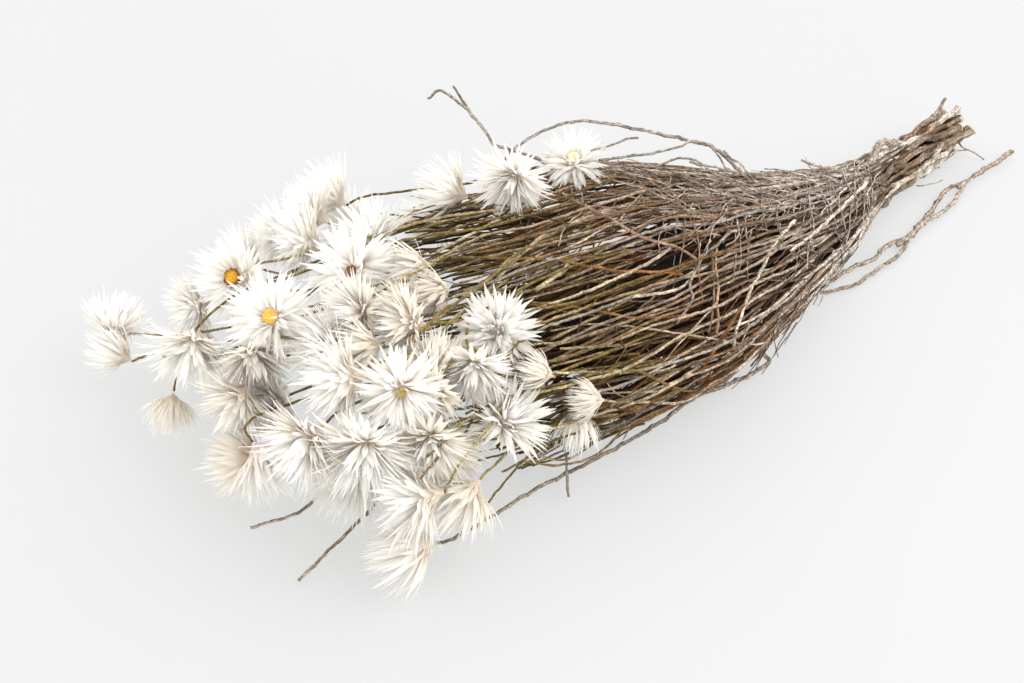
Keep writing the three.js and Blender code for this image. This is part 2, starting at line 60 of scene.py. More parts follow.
# %% Camera
MM = 0.001
LENS, SENSOR = 50.0, 36.0
LOOK_AT = Vector((-82.4, -14.2, 25.0)) * MM
LOOK_AZIMUTH, LOOK_ELEVATION = math.radians(-30), math.radians(45)
LOOK_DISTANCE = 720 * MM

camera_data = bpy.data.cameras.new("camera")
camera_data.lens, camera_data.sensor_width = LENS, SENSOR
camera = bpy.data.objects.new("camera", camera_data)
bpy.context.scene.collection.objects.link(camera)
back = Vector((
    math.sin(LOOK_AZIMUTH) * math.cos(LOOK_ELEVATION),
    -math.cos(LOOK_AZIMUTH) * math.cos(LOOK_ELEVATION),
    math.sin(LOOK_ELEVATION),
))
camera.location = LOOK_AT + back * LOOK_DISTANCE
camera.rotation_mode = "QUATERNION"
camera.rotation_quaternion = (-back).to_track_quat("-Z", "Y")
bpy.context.scene.camera = camera
print("camera at", [round(c, 4) for c in camera.location])

# %% [markdown]
# ## Light and floor
#
# White petals on a white ground only show by their shading, so the light is broad and soft: a
# pale sky all round, which fills the shadows, and one large lamp above, in front and to the
# right, which gives the bracts a lit and an unlit side. The floor is a lit table: it glows, as the
# ground of such a picture does, so the shadows round the bunch stay pale. The plain Standard view
# keeps the whites white.

# %% Light and floor
SKY_COLOUR = (1.0, 0.995, 0.985, 1.0)
SKY_STRENGTH = 1.83
LAMP_SIZE = 1.1
LAMP_POWER = 9.5
LAMP_AT = Vector((0.42, -0.68, 1.02))
FLOOR_SIZE = 12.0

scene = bpy.context.scene
scene.view_settings.view_transform = "Standard"
world = bpy.data.worlds.new("soft_sky")
world.use_nodes = True
scene.world = world
sky = world.node_tree.nodes["Background"]
sky.inputs["Color"].default_value = SKY_COLOUR
sky.inputs["Strength"].default_value = SKY_STRENGTH

lamp_data = bpy.data.lights.new("softbox", "AREA")
lamp_data.shape, lamp_data.size, lamp_data.energy = "DISK", LAMP_SIZE, LAMP_POWER
lamp = bpy.data.objects.new("softbox", lamp_data)
lamp.location = LAMP_AT
lamp.rotation_mode = "QUATERNION"
lamp.rotation_quaternion = (LOOK_AT - LAMP_AT).to_track_quat("-Z", "Y")
scene.collection.objects.link(lamp)

bpy.ops.mesh.primitive_plane_add(size=FLOOR_SIZE)
floor = bpy.context.object
floor.name = "floor"
print("floor", FLOOR_SIZE, "m wide")

# %% [markdown]
# ## A helper for materials
#
# Every finish here is a small node tree round one Principled shader. The helper makes the tree,
# and `Nodes` lets a cell read like a recipe: make a node, set its values, link it on. Patterns
# are steered by numbers stored on the mesh's points: `along` runs from root to tip, `across` from
# edge to edge, and `shade` is one draw for each bract or stem, so that no two look the same. A Mix
# node has a set of sockets for each kind of value, and the colours have the places named here.

# %% Material helper
MIX_SOCKETS, MIX_RESULT = (0, 6, 7), 2


class Nodes:
    """One material's node tree, written as a recipe."""

    def __init__(self, name):
        self.material = bpy.data.materials.new(name)
        self.material.use_nodes = True
        self.tree = self.material.node_tree
        self.shader = self.tree.nodes["Principled BSDF"]

    def add(self, kind, **values):
        node = self.tree.nodes.new("ShaderNode" + kind)
        for key, value in values.items():
            if hasattr(node, key):
                setattr(node, key, value)
            else:
                node.inputs[key].default_value = value
        return node

    def link(self, source, target):
        self.tree.links.new(source, target)

    def feed(self, socket, value):
        """Gives a socket a number, a colour, or the output of another node."""
        if isinstance(value, (int, float)):
            socket.default_value = value
        elif isinstance(value, tuple):
            socket.default_value = (*value, 1.0)
        else:
            self.link(value, socket)

    def number(self, name):
        return self.add("Attribute", attribute_name=name).outputs["Fac"]

    def maths(self, operation, first, second):
        node = self.add("Math", operation=operation)
        for socket, value in zip(node.inputs, (first, second)):
            self.feed(socket, value)
        return node.outputs[0]

    def ramp(self, source, stops):
        """Colours, or plain numbers for greys, each at its own place between 0 and 1."""
        node = self.add("ValToRGB")
        ramp = node.color_ramp
        while len(ramp.elements) < len(stops):
            ramp.elements.new(0.5)
        for element, (at, value) in zip(ramp.elements, stops):
            element.position = at
            element.color = (*(value if isinstance(value, tuple) else (value,) * 3), 1.0)
        self.link(source, node.inputs[0])
        return node.outputs[0]

    def mix(self, factor, first, second, blend="MIX"):
        node = self.add("Mix", data_type="RGBA", blend_type=blend)
        for place, value in zip(MIX_SOCKETS, (factor, first, second)):
            self.feed(node.inputs[place], value)
        return node.outputs[MIX_RESULT]

    def times(self, first, second):
        """Colours multiplied, to lay light and dark over what is there."""
        return self.mix(1.0, first, second, "MULTIPLY")

    def noise(self, vector, scale, detail=3.0, roughness=0.55):
        node = self.add("TexNoise", Scale=scale, Detail=detail, Roughness=roughness)
        self.link(vector, node.inputs["Vector"])
        return node.outputs[0]

    def place(self, x, y, z):
        node = self.add("CombineXYZ")
        for socket, value in zip(node.inputs, (x, y, z)):
            self.feed(socket, value)
        return node.outputs[0]

    def where(self):
        return self.add("TexCoord").outputs["Object"]

    def colour(self, source):
        self.link(source, self.shader.inputs["Base Color"])

    def roughness(self, source, low, high):
        node = self.add("MapRange")
        node.inputs["To Min"].default_value = low
        node.inputs["To Max"].default_value = high
        self.link(source, node.inputs["Value"])
        self.link(node.outputs[0], self.shader.inputs["Roughness"])

    def let_light_through(self, share, colour):
        """Mixes in a shader that passes light on to the far side, as thin paper does."""
        through = self.add("BsdfTranslucent")
        both = self.add("MixShader")
        both.inputs[0].default_value = share
        self.link(colour, through.inputs["Color"])
        self.link(self.shader.outputs[0], both.inputs[1])
        self.link(through.outputs[0], both.inputs[2])
        self.link(both.outputs[0], self.tree.nodes["Material Output"].inputs["Surface"])

    def bump(self, height, distance, strength):
        node = self.add("Bump", Strength=strength, Distance=distance)
        self.link(height, node.inputs["Height"])
        self.link(node.outputs[0], self.shader.inputs["Normal"])


# %% [markdown]
# ## The floor's finish
#
# The ground is matt white card. A perfectly even floor looks like no floor at all, so wide,
# hardly visible clouds of noise run over it. Most of its brightness is the glow, set on the
# shader itself.

# %% Floor finish
FLOOR_PALE, FLOOR_DEEP = (0.158, 0.161, 0.163), (0.148, 0.151, 0.153)
FLOOR_CLOUDS, FLOOR_TINTS = 1.4, [(0.3, FLOOR_DEEP), (0.7, FLOOR_PALE)]
FLOOR_ROUGH, FLOOR_GLOSS = 0.75, 0.2
GLOW_COLOUR, FLOOR_GLOW = (1.0, 1.0, 0.995, 1.0), 0.56

card = Nodes("floor_card")
card.colour(card.ramp(card.noise(card.where(), FLOOR_CLOUDS), FLOOR_TINTS))
card.shader.inputs["Roughness"].default_value = FLOOR_ROUGH
card.shader.inputs["Specular IOR Level"].default_value = FLOOR_GLOSS
card.shader.inputs["Emission Color"].default_value = GLOW_COLOUR
card.shader.inputs["Emission Strength"].default_value = FLOOR_GLOW
floor.data.materials.append(card.material)
print("floor colours", FLOOR_DEEP, "to", FLOOR_PALE, "glow", FLOOR_GLOW)

# %% [markdown]
# ## The papery bracts
#
# What looks like petals are bracts: dry, white, faintly silky, with fine lengthwise veins. Near
# their root they turn cream, and on some heads pink. Paper lets light through, so a translucent
# shader is mixed in, which keeps the inner bracts bright. The veins are noise stretched along
# each bract, which a wave pattern would make too even.

# %% Bract finish
BRACT_RAMP = [
    (0.00, (0.95, 0.90, 0.82)),
    (0.06, (0.97, 0.94, 0.89)),
    (0.16, (0.98, 0.97, 0.945)),
    (0.35, (0.98, 0.975, 0.96)),
    (1.00, (0.985, 0.982, 0.975)),
]
BRACT_WARM = (0.94, 0.885, 0.79)
BRACT_PINK = (0.94, 0.80, 0.75)
BRACT_VEIN = (0.84, 0.80, 0.74)
PINK_UP_TO = 0.45
VEINS_ACROSS, VEINS_ALONG, VEIN_SCALE = 3.2, 0.9, 2.4
VEINS_SHOW = [(0.35, 0.08), (0.6, 0.0)]
VEIN_HEIGHT, VEIN_STRENGTH = 0.00025, 0.5
OWN_PATTERN = 40.0
PAPER_ROUGH = (0.5, 0.75)
SILK, SILK_ROUGH = 0.25, 0.4
PAPER_LETS_THROUGH = 0.76

paper = Nodes("bract_paper")
bract_run = paper.number("along")
vein_place = paper.place(
    paper.maths("MULTIPLY", paper.number("across"), VEINS_ACROSS),
    paper.maths("MULTIPLY", bract_run, VEINS_ALONG),
    paper.maths("MULTIPLY", paper.number("shade"), OWN_PATTERN),
)
veins = paper.noise(vein_place, VEIN_SCALE, detail=2.0)
white = paper.ramp(bract_run, BRACT_RAMP)
warmed = paper.mix(paper.number("warm"), white, BRACT_WARM, "MULTIPLY")
near_root = paper.maths("MAXIMUM", paper.maths("SUBTRACT", PINK_UP_TO, bract_run), 0.0)
pinkness = paper.maths("MULTIPLY", near_root, paper.number("pink"))
blushed = paper.mix(pinkness, warmed, BRACT_PINK)
veined = paper.mix(paper.ramp(veins, VEINS_SHOW), blushed, BRACT_VEIN)
paper.colour(veined)
paper.roughness(veins, *PAPER_ROUGH)
paper.bump(veins, VEIN_HEIGHT, VEIN_STRENGTH)
paper.shader.inputs["Sheen Weight"].default_value = SILK
paper.shader.inputs["Sheen Roughness"].default_value = SILK_ROUGH
paper.let_light_through(PAPER_LETS_THROUGH, veined)
print("bract paper lets", PAPER_LETS_THROUGH, "of the light through")

# %% [markdown]
# ## The bark
#
# The wood is grey and weathered at the cut ends, russet where the stems are thin, and olive near
# the heads, where they were green last. `along` carries that run. For each of the three there is
# a range of colours, from nearly black to straw, and a stem takes its place in it by its own
# draw. Lengthwise noise gives the fibres, and two more sizes the mottling and the fine cracks.
# Stems deep in the bundle kept more of their dark brown skin, because nothing has rubbed or
# bleached them.

# %% Bark finish
WOODY_KINDS = [
    (0.00, (0.085, 0.058, 0.042)),
    (0.20, (0.200, 0.140, 0.100)),
    (0.40, (0.360, 0.285, 0.230)),
    (0.60, (0.340, 0.250, 0.180)),
    (0.80, (0.520, 0.440, 0.370)),
    (1.00, (0.800, 0.710, 0.620)),
]
RUSSET_KINDS = [
    (0.00, (0.023, 0.010, 0.004)),
    (0.20, (0.095, 0.042, 0.016)),
    (0.38, (0.255, 0.098, 0.032)),
    (0.52, (0.185, 0.115, 0.040)),
    (0.64, (0.245, 0.138, 0.085)),
    (0.72, (0.400, 0.350, 0.300)),
    (0.76, (0.380, 0.325, 0.270)),
    (0.82, (0.355, 0.212, 0.120)),
    (0.92, (0.510, 0.378, 0.285)),
    (1.00, (0.760, 0.650, 0.500)),
]
GREEN_KINDS = [
    (0.00, (0.039, 0.028, 0.010)),
    (0.20, (0.120, 0.085, 0.036)),
    (0.40, (0.190, 0.150, 0.042)),
    (0.52, (0.290, 0.218, 0.068)),
    (0.64, (0.275, 0.195, 0.080)),
    (0.72, (0.390, 0.335, 0.270)),
    (0.76, (0.370, 0.310, 0.240)),
    (0.82, (0.306, 0.204, 0.095)),
    (0.92, (0.455, 0.370, 0.165)),
    (1.00, (0.600, 0.495, 0.260)),
]
WOODY_TO_RUSSET, RUSSET_TO_GREEN = (0.28, 0.52), (0.55, 0.80)
BARK_DEPTH = 0.80
MOTTLE_LIGHT = [(0.3, 0.70 * BARK_DEPTH), (0.7, 1.25 * BARK_DEPTH)]
FIBRE_LIGHT = [(0.34, 0.50), (0.50, 0.98), (0.64, 1.42)]
FLECK_LIGHT = [(0.36, 0.58), (0.52, 1.0), (0.66, 1.38)]
CRACKS_SHOW = [(0.36, 0.8), (0.47, 0.0)]
# Painted shade: the deeper a stem lies in the bundle, the darker and browner it is painted.
PAINTED_SHADE_IN_DEPTH = [(0.50, (0.18, 0.115, 0.07)), (0.75, (0.62, 0.50, 0.40)), (0.92, (1.0, 1.0, 1.0))]
BARK_CRACK = (0.055, 0.038, 0.026)
CUT_WOOD = (0.62, 0.52, 0.40)
FIBRES_ACROSS, FIBRES_ALONG = 7.0, 55.0
CRACK_SCALE, FLECK_SCALE, MOTTLE_SCALE = 900.0, 480.0, 160.0
BARK_ROUGH, BARK_GLOSS = (0.65, 0.95), 0.15
BARK_HEIGHT, BARK_STRENGTH = 0.0006, 0.9

bark = Nodes("stem_bark")
spot = bark.where()
cracks = bark.noise(spot, CRACK_SCALE, detail=4.0, roughness=0.65)
fibre_place = bark.place(
    bark.maths("MULTIPLY", bark.number("across"), FIBRES_ACROSS),
    bark.maths("MULTIPLY", bark.number("along"), FIBRES_ALONG),
    bark.maths("MULTIPLY", bark.number("shade"), OWN_PATTERN),
)
fibres = bark.noise(fibre_place, 1.0, detail=3.0)
mottle = bark.noise(spot, MOTTLE_SCALE, detail=2.0)
flecks = bark.noise(spot, FLECK_SCALE, detail=2.0, roughness=0.7)
own, run = bark.number("shade"), bark.number("along")
kinds = (WOODY_KINDS, RUSSET_KINDS, GREEN_KINDS)
woody, russet, green = (bark.ramp(own, kind) for kind in kinds)
to_russet = bark.ramp(run, [(WOODY_TO_RUSSET[0], 0.0), (WOODY_TO_RUSSET[1], 1.0)])
to_green = bark.ramp(run, [(RUSSET_TO_GREEN[0], 0.0), (RUSSET_TO_GREEN[1], 1.0)])
own_colour = bark.mix(to_green, bark.mix(to_russet, woody, russet), green)
shaded = bark.times(own_colour, bark.ramp(bark.number("deep"), PAINTED_SHADE_IN_DEPTH))
mottled = bark.times(shaded, bark.ramp(mottle, MOTTLE_LIGHT))
streaked = bark.times(mottled, bark.ramp(fibres, FIBRE_LIGHT))
flecked = bark.times(streaked, bark.ramp(flecks, FLECK_LIGHT))
cracked = bark.mix(bark.ramp(cracks, CRACKS_SHOW), flecked, BARK_CRACK)
bark.colour(bark.mix(bark.number("cut"), cracked, CUT_WOOD))
bark.roughness(cracks, *BARK_ROUGH)
relief = bark.maths("ADD", cracks, bark.maths("ADD", fibres, flecks))
bark.bump(relief, BARK_HEIGHT, BARK_STRENGTH)
bark.shader.inputs["Specular IOR Level"].default_value = BARK_GLOSS
print("bark:", len(bark.tree.nodes), "nodes, runs of", [len(kind) for kind in kinds], "colours")

# %% [markdown]
# ## From numbers to a mesh
#
# A stem is a skin drawn over a row of rings, and a head is some two hundred like blades, so two
# ways to add faces build everything. The points of many stems are stacked in one array, which
# keeps hundreds of stems fast. All shapes are laid out in millimetres round the layout's own
# origin, and only here do they move to the part's frame, in metres.

# %% Mesh helpers
MIDDLE = np.array([22.4, 4.2, 0.0])
TINY, SMALL = 1e-9, 1e-6
pieces_made = {}


class Skin:
    """Points, faces and point values of one piece, gathered part by part."""

    def __init__(self):
        self.points, self.quads, self.tris, self.values = [], [], [], []
        self.count = 0

    def rings(self, rings, **values):
        """rings: (rows, sides, 3). A point in the middle of each end ring closes that end."""
        rows, sides = rings.shape[:2]
        grid = self.count + np.arange(rows * sides).reshape(rows, sides)
        turned = np.roll(grid, -1, axis=1)
        quads = np.stack([grid[:-1], turned[:-1], turned[1:], grid[1:]], axis=-1)
        self.quads.append(quads.reshape(-1, 4))
        poles = [rings[0].mean(axis=0), rings[-1].mean(axis=0)]
        for end, order in ((0, 1), (-1, -1)):
            pole = np.full(sides, self.count + rows * sides - end)
            self.tris.append(np.stack([pole, turned[end], grid[end]][::order], axis=-1))
        self.points.append(np.concatenate([rings.reshape(-1, 3), poles]))
        self.values.append({key: self.spread(value, rows, sides) for key, value in values.items()})
        self.count += rows * sides + len(poles)

    @staticmethod
    def spread(value, rows, sides):
        """One value for each point of the rings and for the two poles."""
        value = np.asarray(value, float)
        if value.ndim == 1 and len(value) == rows:
            value = np.repeat(value[:, None], sides, axis=1)
        flat = np.broadcast_to(value, (rows, sides)).reshape(-1)
        return np.concatenate([flat, flat[[0, -1]]])

    def sheets(self, grid, quads, **values):
        """Many like parts at once: grid is (parts, points, 3), quads are the faces of one part."""
        parts, points = grid.shape[:2]
        offset = self.count + np.arange(parts)[:, None, None] * points
        self.quads.append((np.asarray(quads)[None] + offset).reshape(-1, 4))
        self.points.append(grid.reshape(-1, 3))
        self.values.append({key: np.broadcast_to(value, (parts, points)).reshape(-1)
                            for key, value in values.items()})
        self.count += parts * points


def make_piece(name, skin, material, slot, *nodes, sharp=None):
    """Turns a skin into an object in the part's frame that rides on the bunch."""
    points = (np.concatenate(skin.points) - MIDDLE) * MM
    quads = np.concatenate(skin.quads)
    tris = np.concatenate(skin.tris) if skin.tris else np.empty((0, 3), int)
    mesh = bpy.data.meshes.new(name)
    mesh.vertices.add(len(points))
    mesh.vertices.foreach_set("co", points.reshape(-1))
    corners = np.concatenate([quads.reshape(-1), tris.reshape(-1)])
    mesh.loops.add(len(corners))
    mesh.loops.foreach_set("vertex_index", corners.astype(np.int32))
    starts = np.concatenate([np.arange(len(quads)) * 4, len(quads) * 4 + np.arange(len(tris)) * 3])
    mesh.polygons.add(len(starts))
    mesh.polygons.foreach_set("loop_start", starts.astype(np.int32))
    mesh.update(calc_edges=True)
    mesh.polygons.foreach_set("use_smooth", np.ones(len(starts), bool))
    for key in skin.values[0]:
        values = np.concatenate([part[key] for part in skin.values])
        layer = mesh.attributes.new(key, "FLOAT", "POINT")
        layer.data.foreach_set("value", values.astype(np.float32))
    if sharp:
        mesh.set_sharp_from_angle(angle=math.radians(sharp))
    mesh.materials.append(material)
    piece = bpy.data.objects.new(name, mesh)
    bpy.context.scene.collection.objects.link(piece)
    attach(piece, "root")
    if nodes:
        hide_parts(*nodes)
    pieces_made[name] = 2 * len(quads) + len(tris)


def unit(v):
    return v / np.maximum(np.linalg.norm(v, axis=-1, keepdims=True), TINY)


def kept_above(points, least):
    """The same points, with none of them lower than least over the table."""
    points[..., 2] = np.maximum(points[..., 2], least)
    return points


print("the layout's origin is", MIDDLE, "mm from the part's")

# %% [markdown]
# ## Where the heads are
#
# The heads stand where the frame has them: each row gives the middle, the way the head faces as
# an azimuth and an elevation, the reach of its bracts and its habit, which says how far it has
# opened. Repeating the list keeps the finished heads on the solids that they replace. The stem
# comes up along the head's axis, from the `neck` to the `foot` just below the knob.

# %% The heads' places
HEADS = [
    (-232, 89, 37, 27, 56, 19, "brush"), (-236, 77, 29, 133, 25, 18, "bud"),
    (-226, 29, 31, 231, -30, 16, "bud"), (-210, 29, 63, 228, -32, 25, "star"),
    (-177, 53, 72, 214, 45, 21, "cup"), (-196, 64, 53, 176, -1, 19, "star"),
    (-176, 8, 83, 230, 50, 22, "open"), (-159, -19, 80, 163, 33, 24, "star"),
    (-132, 13, 88, 228, 38, 24, "open"), (-103, 107, 54, 131, 27, 22, "brush"),
    (-123, 85, 66, 136, 22, 22, "star"), (-111, 40, 79, 128, 62, 22, "star"),
    (-138, 58, 74, 149, 13, 22, "star"), (-60, 51, 79, 137, 13, 22, "brush"),
    (-38, 28, 94, 217, -2, 21, "star"), (0, 31, 89, 221, 74, 18, "open"),
    (-107, -2, 90, 176, -1, 18, "brush"), (-107, -24, 93, 176, -1, 15, "brush"),
    (-126, -28, 95, 165, 1, 16, "brush"), (-93, -53, 85, 228, 42, 20, "star"),
    (-113, -69, 86, 236, -15, 19, "star"), (-106, -86, 65, 324, 52, 21, "star"),
    (-69, -96, 67, 150, 0, 12, "bud"), (-71, -88, 46, 229, -44, 17, "bud"),
    (-86, -80, 79, 143, 15, 12, "bud"), (-168, -55, 96, 156, -2, 23, "star"),
    (-150, -72, 95, 243, 24, 20, "open"), (-192, -65, 79, 196, -15, 24, "star"),
    (-173, -81, 78, 234, -8, 24, "star"), (-146, -89, 76, 236, -4, 18, "star"),
    (-135, -72, 86, 208, 0, 17, "star"), (-202, -9, 58, 199, -30, 22, "star"),
    (-208, -21, 32, 149, 1, 22, "brush"), (-205, -41, 51, 283, -33, 22, "brush"),
    (-156, -98, 55, 159, -5, 26, "star"), (-134, -99, 43, 194, -31, 22, "brush"),
    (-160, -97, 21, 159, -5, 26, "brush"), (-57, 81, 40, 211, -44, 21, "star"),
    (-190, 1, 71, 257, -32, 20, "star"), (-145, -20, 95, 181, 22, 19, "star"),
    (-131, -42, 99, 163, 12, 20, "star"), (-151, -42, 95, 165, -6, 17, "brush"),
    (-128, -61, 90, 40, 61, 16, "brush"), (-134, -78, 55, 301, -29, 22, "brush"),
    (-94, 104, 30, 120, 0, 22, "star"), (-132, 110, 38, 130, 10, 22, "star"),
    (-165, 92, 26, 150, 0, 22, "star"), (-196, 66, 24, 160, -5, 22, "star"),
    (-163, 80, 54, 150, 25, 22, "star"), (-186, -6, 45, 189, 9, 21, "star"),
    (-172, -58, 34, 215, -10, 22, "brush"),
]
KNOB_SHARE, KNOB_LEAST = 0.3, 4.6
FOOT, NECK, SEAT = 2.0, 5.0, 0.3
DISC_R = 4.6
DISC_SHARE = {5: 0.96, 7: 0.74, 9: 0.50, 16: 0.60, 27: 0.38,
              12: 0.42, 29: 0.45, 30: 0.42, 31: 0.40, 40: 0.42}


class Head:
    """One head's own frame: its middle, its axis and two directions across it."""

    def __init__(self, number, row):
        x, y, z, azimuth, elevation, self.reach, self.habit = row
        a, e = math.radians(azimuth), math.radians(elevation)
        self.number = number
        self.middle = np.array([x, y, z], float)
        self.axis = np.array([math.cos(a) * math.cos(e), math.sin(a) * math.cos(e), math.sin(e)])
        self.across = np.array([-math.sin(a), math.cos(a), 0.0])
        self.over = np.cross(self.axis, self.across)
        self.knob = max(KNOB_SHARE * self.reach, KNOB_LEAST)
        self.disc = DISC_R * DISC_SHARE.get(number, 0.0)
        self.foot = self.middle - self.axis * (self.knob + FOOT + SEAT)
        self.neck = self.foot - self.axis * NECK

    def radial(self, around):
        return np.cos(around)[..., None] * self.across + np.sin(around)[..., None] * self.over

    def towards(self, polar, around):
        return np.cos(polar)[..., None] * self.axis + np.sin(polar)[..., None] * self.radial(around)


heads = [Head(i + 1, row) for i, row in enumerate(HEADS)]
reaches = [head.reach for head in heads]
print(len(heads), "heads, reach", min(reaches), "to", max(reaches), "mm")

# %% [markdown]
# ## Room between neighbours
#
# Heads press against each other, and a bract stops where the neighbour's begin. Half way between
# two heads lies a plane that parts them. A bract is only as long as the room up to that plane,
# plus about a centimetre, because real bracts mingle at their ends.

# %% Room for a bract
MINGLE = 13.0
TABLE_GAP = 0.4
NEARLY_TOUCH, KNOB_CLEAR = 2, 0.3
FACING, SHORTEST_BRACT = 0.05, 1.5


def partings(head):
    planes = []
    for other in heads:
        away = other.middle - head.middle
        gap = np.linalg.norm(away)
        if other is head or gap > head.reach + other.reach + NEARLY_TOUCH:
            continue
        even = 0.5 * (gap + (head.reach**2 - other.reach**2) / gap)
        at = min(max(even, head.knob + KNOB_CLEAR), gap - other.knob - KNOB_CLEAR)
        planes.append((away / gap, at))
    return planes


def room(head, directions, wanted):
    longest = wanted.copy()
    for normal, at in partings(head):
        rise = directions @ normal
        up_to = (at + MINGLE) / np.maximum(rise, FACING)
        longest = np.where(rise > FACING, np.minimum(longest, up_to), longest)
    fall = np.maximum(-directions[:, 2], SMALL)
    longest = np.minimum(longest, (head.middle[2] - TABLE_GAP) / fall)
    return np.maximum(longest, head.knob + SHORTEST_BRACT)


crowded = max(heads, key=lambda head: len(partings(head)))
print("head", crowded.number, "has most neighbours:", len(partings(crowded)))


# %% [markdown]
# ## One bract
#
# A bract is a thin blade, cupped towards the middle of the head, widest a third of the way up and
# drawn out to a sharp point. Four lines of points make it: the two edges, the face and the keel
# behind, so it has a thickness and closes at its root and tip. Its middle line is a bend through
# three points, from the root, up along the knob, out to the tip. A subdivided plane would do for
# one, but well over a hundred a head need the same blade worked out for all of them at once.

# %% One bract
ROWS = np.array([0.0, 0.20, 0.42, 0.62, 0.82, 1.0])
PAPER_THICK, TIP_THICK = 0.10, 0.3
EDGE_WAVE, RIPPLE = 0.07, 0.04
BROAD = np.array([0.30, 0.70, 1.0, 0.86, 0.48, 0.03])


def blade_quads():
    quads = []
    for row in range(len(ROWS) - 1):
        for side in range(4):
            a, b = row * 4 + side, row * 4 + (side + 1) % 4
            quads.append((a, b, b + 4, a + 4))
    last = (len(ROWS) - 1) * 4
    quads.append((3, 2, 1, 0))
    quads.append((last, last + 1, last + 2, last + 3))
    return quads


BLADE = blade_quads()
print("a bract has", len(ROWS) * 4, "points and", len(BLADE), "faces")


def blades(root, bend, tip, side, width, cup, rng):
    """Blades from root over bend to tip, each of them (n, 3), as points (n, rows * 4, 3)."""
    s = ROWS[None, :, None]
    line = (1 - s) ** 2 * root[:, None] + 2 * s * (1 - s) * bend[:, None] + s**2 * tip[:, None]
    tangent = unit(2 * (1 - s) * (bend - root)[:, None] + 2 * s * (tip - bend)[:, None])
    side = unit(side[:, None] - tangent * np.sum(side[:, None] * tangent, axis=-1, keepdims=True))
    face = np.cross(side, tangent)
    wide = width[:, None] * BROAD * (1 + rng.normal(0, EDGE_WAVE, (len(width), len(ROWS))))
    half = 0.5 * wide[..., None] * side
    lift = (cup[:, None] * wide)[..., None] * face
    ripple = rng.normal(0, RIPPLE, (2, len(width), len(ROWS), 1)) * wide[..., None] * face
    thick = PAPER_THICK * np.linspace(1, TIP_THICK, len(ROWS))[None, :, None] * face
    left, right = line - half + lift + ripple[0], line + half + lift + ripple[1]
    rows = [left, line + thick / 2, right, line - thick / 2]
    return np.stack(rows, axis=2).reshape(len(width), -1, 3)


# %% [markdown]
# ## One head
#
# The bracts stand in a spiral, each turned by the golden angle from the last, as they grow. From
# the middle outwards they lean further and further out, until the last hang back over the stem.
# Dry bracts stick together, so each is drawn some way towards the nearest of a few clumps. Five
# habits cover the bunch: open heads with a yellow middle, cups that have spread half as far,
# stars that still close over it, brushes that have hardly spread, and buds whose bracts bow
# outwards and in again, so they look like small domes.
#
# Each habit gives the number of bracts, how far the inmost and the outmost lean, in degrees, how
# much of that lean they set off with, their length in the middle and at the outside, as shares of
# the reach, and how deep the inmost are rooted.

# %% Habits and clumps
GOLDEN = math.pi * (3 - math.sqrt(5))
ANY_TURN_START = 6
HABIT_PARTS = ("bracts", "inner", "outer", "arch", "short", "last", "root")
HABIT_ROWS = {
    "open": (185, 26, 104, 0.62, 0.74, 0.92, 0.45),
    "cup": (130, 36, 72, 1.0, 0.85, 0.80, 0.45),
    "star": (215, 9, 100, 0.70, 0.62, 0.90, 0.0),
    "brush": (165, 4, 84, 1.0, 0.85, 0.72, 0.0),
    "bud": (150, 2, 72, 1.2, 0.95, 0.62, 0.0),
}
HABITS = {name: dict(zip(HABIT_PARTS, row)) for name, row in HABIT_ROWS.items()}
CLUMPS, CLUMPING, CLUMP_STRAY = 26, (0.05, 0.45), 0.2


def clumped(out, head, rng):
    """Each direction, drawn some way towards the nearest of the clumps."""
    t = (np.arange(CLUMPS) + 0.5) / CLUMPS
    reach = math.radians(HABITS[head.habit]["outer"]) * np.sqrt(t)
    around = np.arange(CLUMPS) * GOLDEN + rng.uniform(0, ANY_TURN_START)
    tufts = head.towards(reach, around + rng.normal(0, CLUMP_STRAY, CLUMPS))
    nearest = tufts[np.argmax(out @ tufts.T, axis=1)]
    return unit(out + (nearest - out) * rng.uniform(*CLUMPING, len(out))[:, None])


print("habits:", {name: sum(head.habit == name for head in heads) for name in HABITS})

# %% The bracts of a head
LEAN_AT, LEAN = (0, 0.36, 0.70, 1), (0, 0.52, 0.84, 1)
LONG_AT, LONG = (0, 0.22, 0.75, 1), (0.97, 1.03)
WIDE_AT, WIDE = (0, 0.3, 1), (0.62, 1.0, 1.0)
ROOT_AT, ROOT_DOWN = (0, 0.25, 1), (0.10, 0.70)
ROOT_OUT, ROOT_QUICK, ROOT_IN = 0.72, 2.5, 0.45
DISC_LEAN, DISC_EDGE, LEAST_HOLLOW = 5.5, 0.95, 0.8
TURN_STRAY, LEAN_STRAY, LONG_STRAY, WIDE_STRAY, RISE_STRAY = 0.10, 6.0, 0.10, 0.1, 0.05
BRACT_WIDE, WIDE_WHEN = 2.45, 20
NARROW = {"bud": 0.72, "brush": 0.88}
LEAST_CUP, MORE_CUP = 0.03, 0.07
TWIST, CURL = 0.16, 0.04


